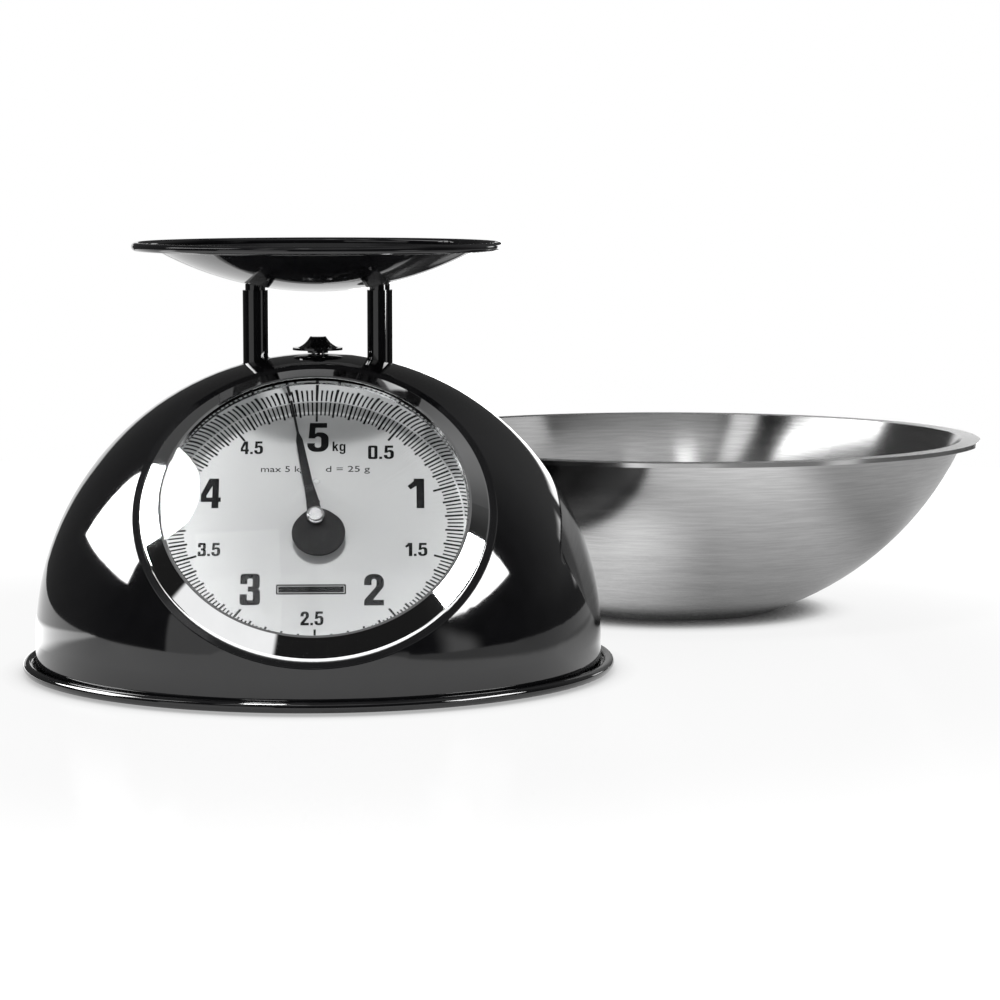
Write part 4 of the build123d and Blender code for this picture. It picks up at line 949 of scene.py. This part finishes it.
@dataclass
class Surroundings:
    """The white backdrop, and the dark room with bright panels that shiny surfaces mirror."""

    ambient: float = 0.5
    front_dark: float = 0.012
    back_dark: float = 0.07
    back_edge: Point = (-0.2, 0.4)
    ceiling_edge: Point = (0.4, 0.5)
    one_bounce: Point = (0.4, 0.6)
    cards: tuple[Card, ...] = (
        Card((-110.0, -65.0), (17.0, 29.5), 4.5, (1.0, 1.0), 0.55),
        Card((-62.0, -17.0), (-9.0, 19.0), 1.0),
        Card((-46.0, -33.0), (38.0, 61.0), 1.4, (2.0, 3.0)),
        Card((-30.0, 88.0), (42.0, 61.0), 0.55, (6.0, 4.0)),
        Card((52.0, 66.0), (-10.0, 6.0), 1.3, (5.0, 3.0), -0.3),
        Card((110.0, 150.0), (5.0, 50.0), 0.12, (22.0, 4.0)),
        Card((133.0, 143.0), (3.0, 11.0), 3.0, (1.5, 1.5)),
        Card((151.0, 190.0), (-9.0, 10.0), 3.5, (1.0, 1.0), -0.33),
        Card((-190.0, -160.0), (-9.0, 6.5), 0.95, (1.0, 1.0)),
        Card((-190.0, 190.0), (52.0, 100.0), 0.15, (1.0, 5.0)),
    )
    ceiling: tuple[CeilingPanel, ...] = (
        CeilingPanel((-0.3, 0.3), (-0.7, -0.41), 0.15, 0.01),
        CeilingPanel((-0.2, -0.0364), (-0.7, -0.4816), 0.9, 0.0012),
        CeilingPanel((-0.02, 0.3), (-0.497, -0.41), 0.95, 0.012),
        CeilingPanel((-0.2, -0.03), (-0.4745, -0.41), 0.8, 0.004),
        CeilingPanel((-0.15, -0.06), (-0.62, -0.345), 1.2, 0.0015),
    )

    def build(self) -> None:
        """Makes the world and puts it round the scene."""
        world = bpy.data.worlds.new("studio_surroundings")
        bpy.context.scene.world = world
        mix = Recipe(world)
        world.cycles.sampling_method = "NONE"
        way = mix.add("ShaderNodeTexCoord").outputs["Generated"]
        part = mix.add("ShaderNodeSeparateXYZ", {0: way}).outputs
        mirrored = mix.sum("ADD", self.room(mix, part), self.overhead(mix, part))
        path = mix.add("ShaderNodeLightPath").outputs
        bounces = mix.sum("ADD", path["Glossy Depth"], path["Diffuse Depth"])
        scattered = mix.gate(path["Diffuse Depth"], *self.one_bounce)
        reflected = mix.gate(bounces, *self.one_bounce)
        lit = mix.choose(scattered, mirrored, self.ambient)
        light = mix.add("ShaderNodeBackground", {"Strength": mix.choose(reflected, 1.0, lit)})
        light.inputs["Color"].default_value = (1.0, 1.0, 1.0, 1.0)
        mix.add("ShaderNodeOutputWorld", {"Surface": light.outputs[0]})

    @staticmethod
    def window(mix: Recipe, value: Value, limits: Point, soft: float) -> bpy.types.NodeSocket:
        """Opens softly between two limits.

        Args:
            mix: The world's recipe.
            value: What is compared with the limits.
            limits: The lower and the upper limit.
            soft: Half the width of each soft edge.

        Returns:
            1 between the limits and 0 outside them.
        """
        opened = mix.gate(value, limits[0] - soft, limits[0] + soft)
        closed = mix.gate(value, limits[1] + soft, limits[1] - soft)
        return mix.sum("MULTIPLY", opened, closed)

    def room(self, mix: Recipe, part: bpy.types.bpy_prop_collection) -> bpy.types.NodeSocket:
        """Gives the brightness of the room's walls and its upright panels.

        Args:
            mix: The world's recipe.
            part: The three parts of the direction.

        Returns:
            The brightness.
        """
        ahead = mix.sum("MULTIPLY", part["Y"], -1.0)
        azimuth = mix.sum("DEGREES", mix.sum("ARCTAN2", part["X"], ahead))
        elevation = mix.sum("DEGREES", mix.sum("ARCSINE", part["Z"]))
        behind = mix.gate(part["Y"], *self.back_edge)
        total = mix.span(behind, self.front_dark, self.back_dark)
        for card in self.cards:
            mask: Value = card.strength
            slope = mix.sum("MULTIPLY", mix.sum("SUBTRACT", azimuth, card.azimuth[0]), card.lean)
            height = mix.sum("SUBTRACT", elevation, slope)
            for value, limits, soft in zip((azimuth, height), (card.azimuth, card.elevation), card.soft):
                mask = mix.sum("MULTIPLY", mask, self.window(mix, value, limits, soft))
            total = mix.sum("ADD", total, mask)
        return total

    def overhead(self, mix: Recipe, part: bpy.types.bpy_prop_collection) -> bpy.types.NodeSocket:
        """Gives the brightness of the panels overhead.

        Args:
            mix: The world's recipe.
            part: The three parts of the direction.

        Returns:
            The brightness.
        """
        across = mix.sum("DIVIDE", part["X"], part["Z"])
        back = mix.sum("DIVIDE", part["Y"], part["Z"])
        total: Value = 0.0
        for panel in self.ceiling:
            mask: Value = panel.strength
            for value, limits in ((across, panel.across), (back, panel.back)):
                mask = mix.sum("MULTIPLY", mask, self.window(mix, value, limits, panel.soft))
            total = mix.sum("ADD", total, mask)
        return mix.sum("MULTIPLY", total, mix.gate(part["Z"], *self.ceiling_edge))


@dataclass(frozen=True)
class PaleFloor:
    """A pale glowing table top, with painted shade as the camera sees it and painted light and shade as shiny
    surfaces mirror it.

    Rooms and edges are in metres. An edge says where a change starts and where it is whole, and bowl_cover
    says the same by how open the floor is. What has mirrored in its name shows in shiny surfaces only.
    """

    name: str
    bowl_middle: Point
    contact_room: float = 0.009
    shade_room: float = 0.08
    samples: int = 8
    white: Point = (0.9, 1.15)
    white_edge: Point = (0.2, 0.5)
    contact: float = 0.45
    bowl_cover: Point = (0.35, 0.08)
    bowl_edge: Point = (0.074, 0.046)
    bowl_shade: float = 0.04
    foot_edge: Point = (0.052, 0.04)
    foot_mirrored_painted_shade: float = 0.12
    front_edge: Point = (-0.12, -0.02)
    front_mirrored_painted_glow: Point = (1.5, 1.2)
    side_edge: Point = (0.2, 0.25)
    side_mirrored_painted_shade: float = 0.45
    between_right_edge: Point = (0.15, 0.1)
    between_near_edge: Point = (0.02, 0.06)
    between_far_edge: Point = (0.15, 0.11)
    between_mirrored_painted_glow: float = 2.7
    shade_mirrored: float = 0.14
    lit_tone: float = 0.85
    seen_tone: float = 0.11
    gloss_share: float = 0.035
    gloss_roughness: float = 0.16

    def make(self) -> bpy.types.Material:
        """Gives the material."""
        mix = Recipe(bpy.data.materials.new(self.name))
        path = mix.add("ShaderNodeLightPath").outputs
        seen, mirrored = path["Is Camera Ray"], path["Is Glossy Ray"]
        at = mix.place()
        near, wide = (mix.add("ShaderNodeAmbientOcclusion", {"Distance": room}, samples=self.samples)
                      .outputs["AO"] for room in (self.contact_room, self.shade_room))
        from_bowl = mix.vector("DISTANCE", at, (*self.bowl_middle, 0.0)).outputs["Value"]
        covered = mix.gate(wide, *self.bowl_cover)
        under = mix.sum("MULTIPLY", mix.gate(from_bowl, *self.bowl_edge), covered)
        foot = mix.sum("MULTIPLY", mix.gate(from_bowl, *self.foot_edge), covered)
        # The camera sees a glow with painted shade; shiny surfaces mirror a glow with painted light and shade
        # set by place.
        white = self.as_seen(mix, at, near, under)
        bright = self.as_mirrored(mix, at, wide, foot)
        level = mix.sum("ADD", mix.sum("MULTIPLY", seen, white), mix.sum("MULTIPLY", mirrored, bright))
        glow = mix.add("ShaderNodeEmission", {"Strength": level}).outputs[0]
        tone = mix.choose(seen, mix.choose(mirrored, self.lit_tone, 0.0), self.seen_tone)
        top = mix.add("ShaderNodeBsdfDiffuse", {"Color": tone}).outputs[0]
        matt = mix.add("ShaderNodeAddShader", {0: top, 1: glow}).outputs[0]
        gloss = mix.add("ShaderNodeBsdfGlossy", {"Roughness": self.gloss_roughness}).outputs[0]
        share = mix.sum("MULTIPLY", seen, self.gloss_share)
        return mix.finish(mix.add("ShaderNodeMixShader", {0: share, 1: matt, 2: gloss}).outputs[0])

    def as_seen(self, mix: Recipe, at: Value, near: Value, under: Value) -> bpy.types.NodeSocket:
        """Gives the white that the camera sees: a glow with painted shade, dimmer near the middle, with
        painted contact shadows and a painted shadow at the bowl's foot.

        Args:
            mix: The floor's recipe.
            at: The place on the floor.
            near: How open the floor is close by, for the contact shadows.
            under: How far it lies in the bowl's shade.

        Returns:
            The brightness.
        """
        # Painted shade: the glow is dimmer near the middle and darkened by occlusion at contacts and under
        # the bowl's foot.
        reach = mix.vector("LENGTH", at).outputs["Value"]
        white = mix.span(mix.gate(reach, *self.white_edge), *self.white)
        white = mix.sum("MULTIPLY", white, mix.span(near, self.contact, 1.0))
        return mix.sum("MULTIPLY", white, mix.span(under, 1.0, self.bowl_shade))

    def as_mirrored(self, mix: Recipe, at: Value, wide: Value, foot: Value) -> bpy.types.NodeSocket:
        """Gives the painted brightness that shiny surfaces mirror: brighter in front and between the dome and
        the bowl, darker to the right, at the bowl's foot and where the dome and the bowl shade the floor.

        Args:
            mix: The floor's recipe.
            at: The place on the floor.
            wide: How open the floor is round about, for the painted shade of the dome and the bowl.
            foot: How near it lies to the bowl's foot, for the painted shade there.

        Returns:
            The brightness.
        """
        part = mix.add("ShaderNodeSeparateXYZ", {0: at}).outputs
        # Painted reflections: a bright patch between the dome and the bowl, brighter in front, darker to the
        # right, at the bowl's foot and where occluded.
        between = mix.sum("MULTIPLY", mix.gate(part["X"], *self.between_right_edge),
                          mix.gate(part["Y"], *self.between_near_edge))
        between = mix.sum("MULTIPLY", between, mix.gate(part["Y"], *self.between_far_edge))
        bright = mix.span(mix.gate(part["Y"], *self.front_edge), *self.front_mirrored_painted_glow)
        shares = (
            mix.span(mix.gate(part["X"], *self.side_edge), 1.0, self.side_mirrored_painted_shade),
            mix.span(wide, self.shade_mirrored, 1.0),
            mix.span(between, 1.0, self.between_mirrored_painted_glow),
            mix.span(foot, 1.0, self.foot_mirrored_painted_shade),
        )
        for share in shares:
            bright = mix.sum("MULTIPLY", bright, share)
        return bright


@dataclass
class Studio:
    """The pale floor, the soft lamps and the camera."""

    floor_radius: float = 0.8
    floor_sides: int = 128
    lens: float = 117.1
    sensor: float = 36.0
    camera_at: Triple = (22.48 * MM, -1117.95 * MM, 175.79 * MM)
    pitch: float = math.radians(6.005)
    turn: float = math.radians(2.052)
    rig: tuple[Lamp, ...] = (
        Lamp("overhead_softbox", (-0.14, -0.58, 1.38), (0.03, 0.03, 0.05), (0.3, 0.3), 5.5),
        Lamp("front_softbox", (-0.7, -1.1, 0.9), (0.03, 0.03, 0.05), (0.9, 0.9), 2.0),
        Lamp("left_panel", (-0.4574, 0.0549, 0.2898), (-0.072, -0.052, 0.2898), (0.315, 0.2567), 7.1,
             mirrored_in=("dome_shell", "bezel_ring", "dial_lens", "left_post", "right_post", "zero_knob")),
        Lamp("right_panel", (0.4384, -0.2134, 0.201), (0.065, -0.07, 0.201), (0.29, 0.139), 3.55,
             math.radians(18.0), mirrored_in=("dome_shell", "bezel_ring", "dial_lens", "right_post")),
        Lamp("bowl_panel", (0.5708, 0.1446, 0.423), (0.08, 0.24, 0.423), (0.287, 0.184), 0.145,
             mirrored_in=("bowl",)),
        Lamp("round_panel", (-0.79, -0.875, 3.07), (-0.79, -0.875, 0.0), (0.66, 0.66), 100.0, shape="ELLIPSE",
             mirrored_in=("dome_shell", "bezel_ring", "dial_lens")),
    )

    def build(self) -> None:
        """Builds the stage."""
        self.floor()
        Surroundings().build()
        self.lamps()
        self.camera()

    def floor(self) -> None:
        """Lays a pale round table top with the lamps' faint shadow and painted shade near the scale and the
        bowl.
        """
        Workbench.clear()
        bpy.ops.mesh.primitive_circle_add(vertices=self.floor_sides, radius=self.floor_radius,
                                          fill_type="NGON")
        floor = bpy.context.object
        floor.name = "studio_floor"
        low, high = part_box("bowl")
        floor.data.materials.append(PaleFloor("pale_floor", tuple((low + high).xy / 2.0)).make())

    def lamps(self) -> None:
        """Hangs the soft lamps and the bright panels that the scale's own solids mirror."""
        for lamp in self.rig:
            Workbench.clear()
            bpy.ops.object.light_add(type="AREA", location=lamp.at)
            piece = bpy.context.object
            piece.name = lamp.name
            piece.data.shape = lamp.shape
            piece.data.size, piece.data.size_y = lamp.size
            piece.data.energy = lamp.power
            facing = (Vector(lamp.target) - Vector(lamp.at)).to_track_quat("-Z", "Y")
            piece.rotation_euler = (facing @ Quaternion((0.0, 0.0, 1.0), lamp.roll)).to_euler()
            piece.visible_camera = False
            piece.visible_diffuse = not lamp.mirrored_in
            piece.visible_glossy = bool(lamp.mirrored_in)
            piece.visible_transmission = False
            if lamp.mirrored_in:
                group = bpy.data.collections.new(f"{lamp.name}_mirrors")
                for name in lamp.mirrored_in:
                    group.objects.link(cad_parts[name])
                piece.light_linking.receiver_collection = group

    def camera(self) -> None:
        """Sets the camera at the photograph's viewing angle."""
        Workbench.clear()
        bpy.ops.object.camera_add(location=self.camera_at)
        camera = bpy.context.object
        camera.data.lens = self.lens
        camera.data.sensor_width = self.sensor
        ahead = Vector((
            math.cos(self.pitch) * math.sin(self.turn),
            math.cos(self.pitch) * math.cos(self.turn),
            -math.sin(self.pitch),
        ))
        camera.rotation_euler = ahead.to_track_quat("-Z", "Y").to_euler()
        bpy.context.scene.camera = camera
        bpy.context.scene.view_settings.view_transform = "Standard"


def main() -> None:
    """Builds and dresses the scale, then the stage."""
    logging.basicConfig(level=logging.INFO)
    plane = DialPlane()
    bowl = Bowl()
    palette = Palette(bowl.axis, plane.place())
    Housing().dress(palette)
    Weighing().dress(palette)
    bowl.dress(palette)
    DialFace(plane).build(palette)
    Studio().build()


if __name__ == "__main__":
    main()
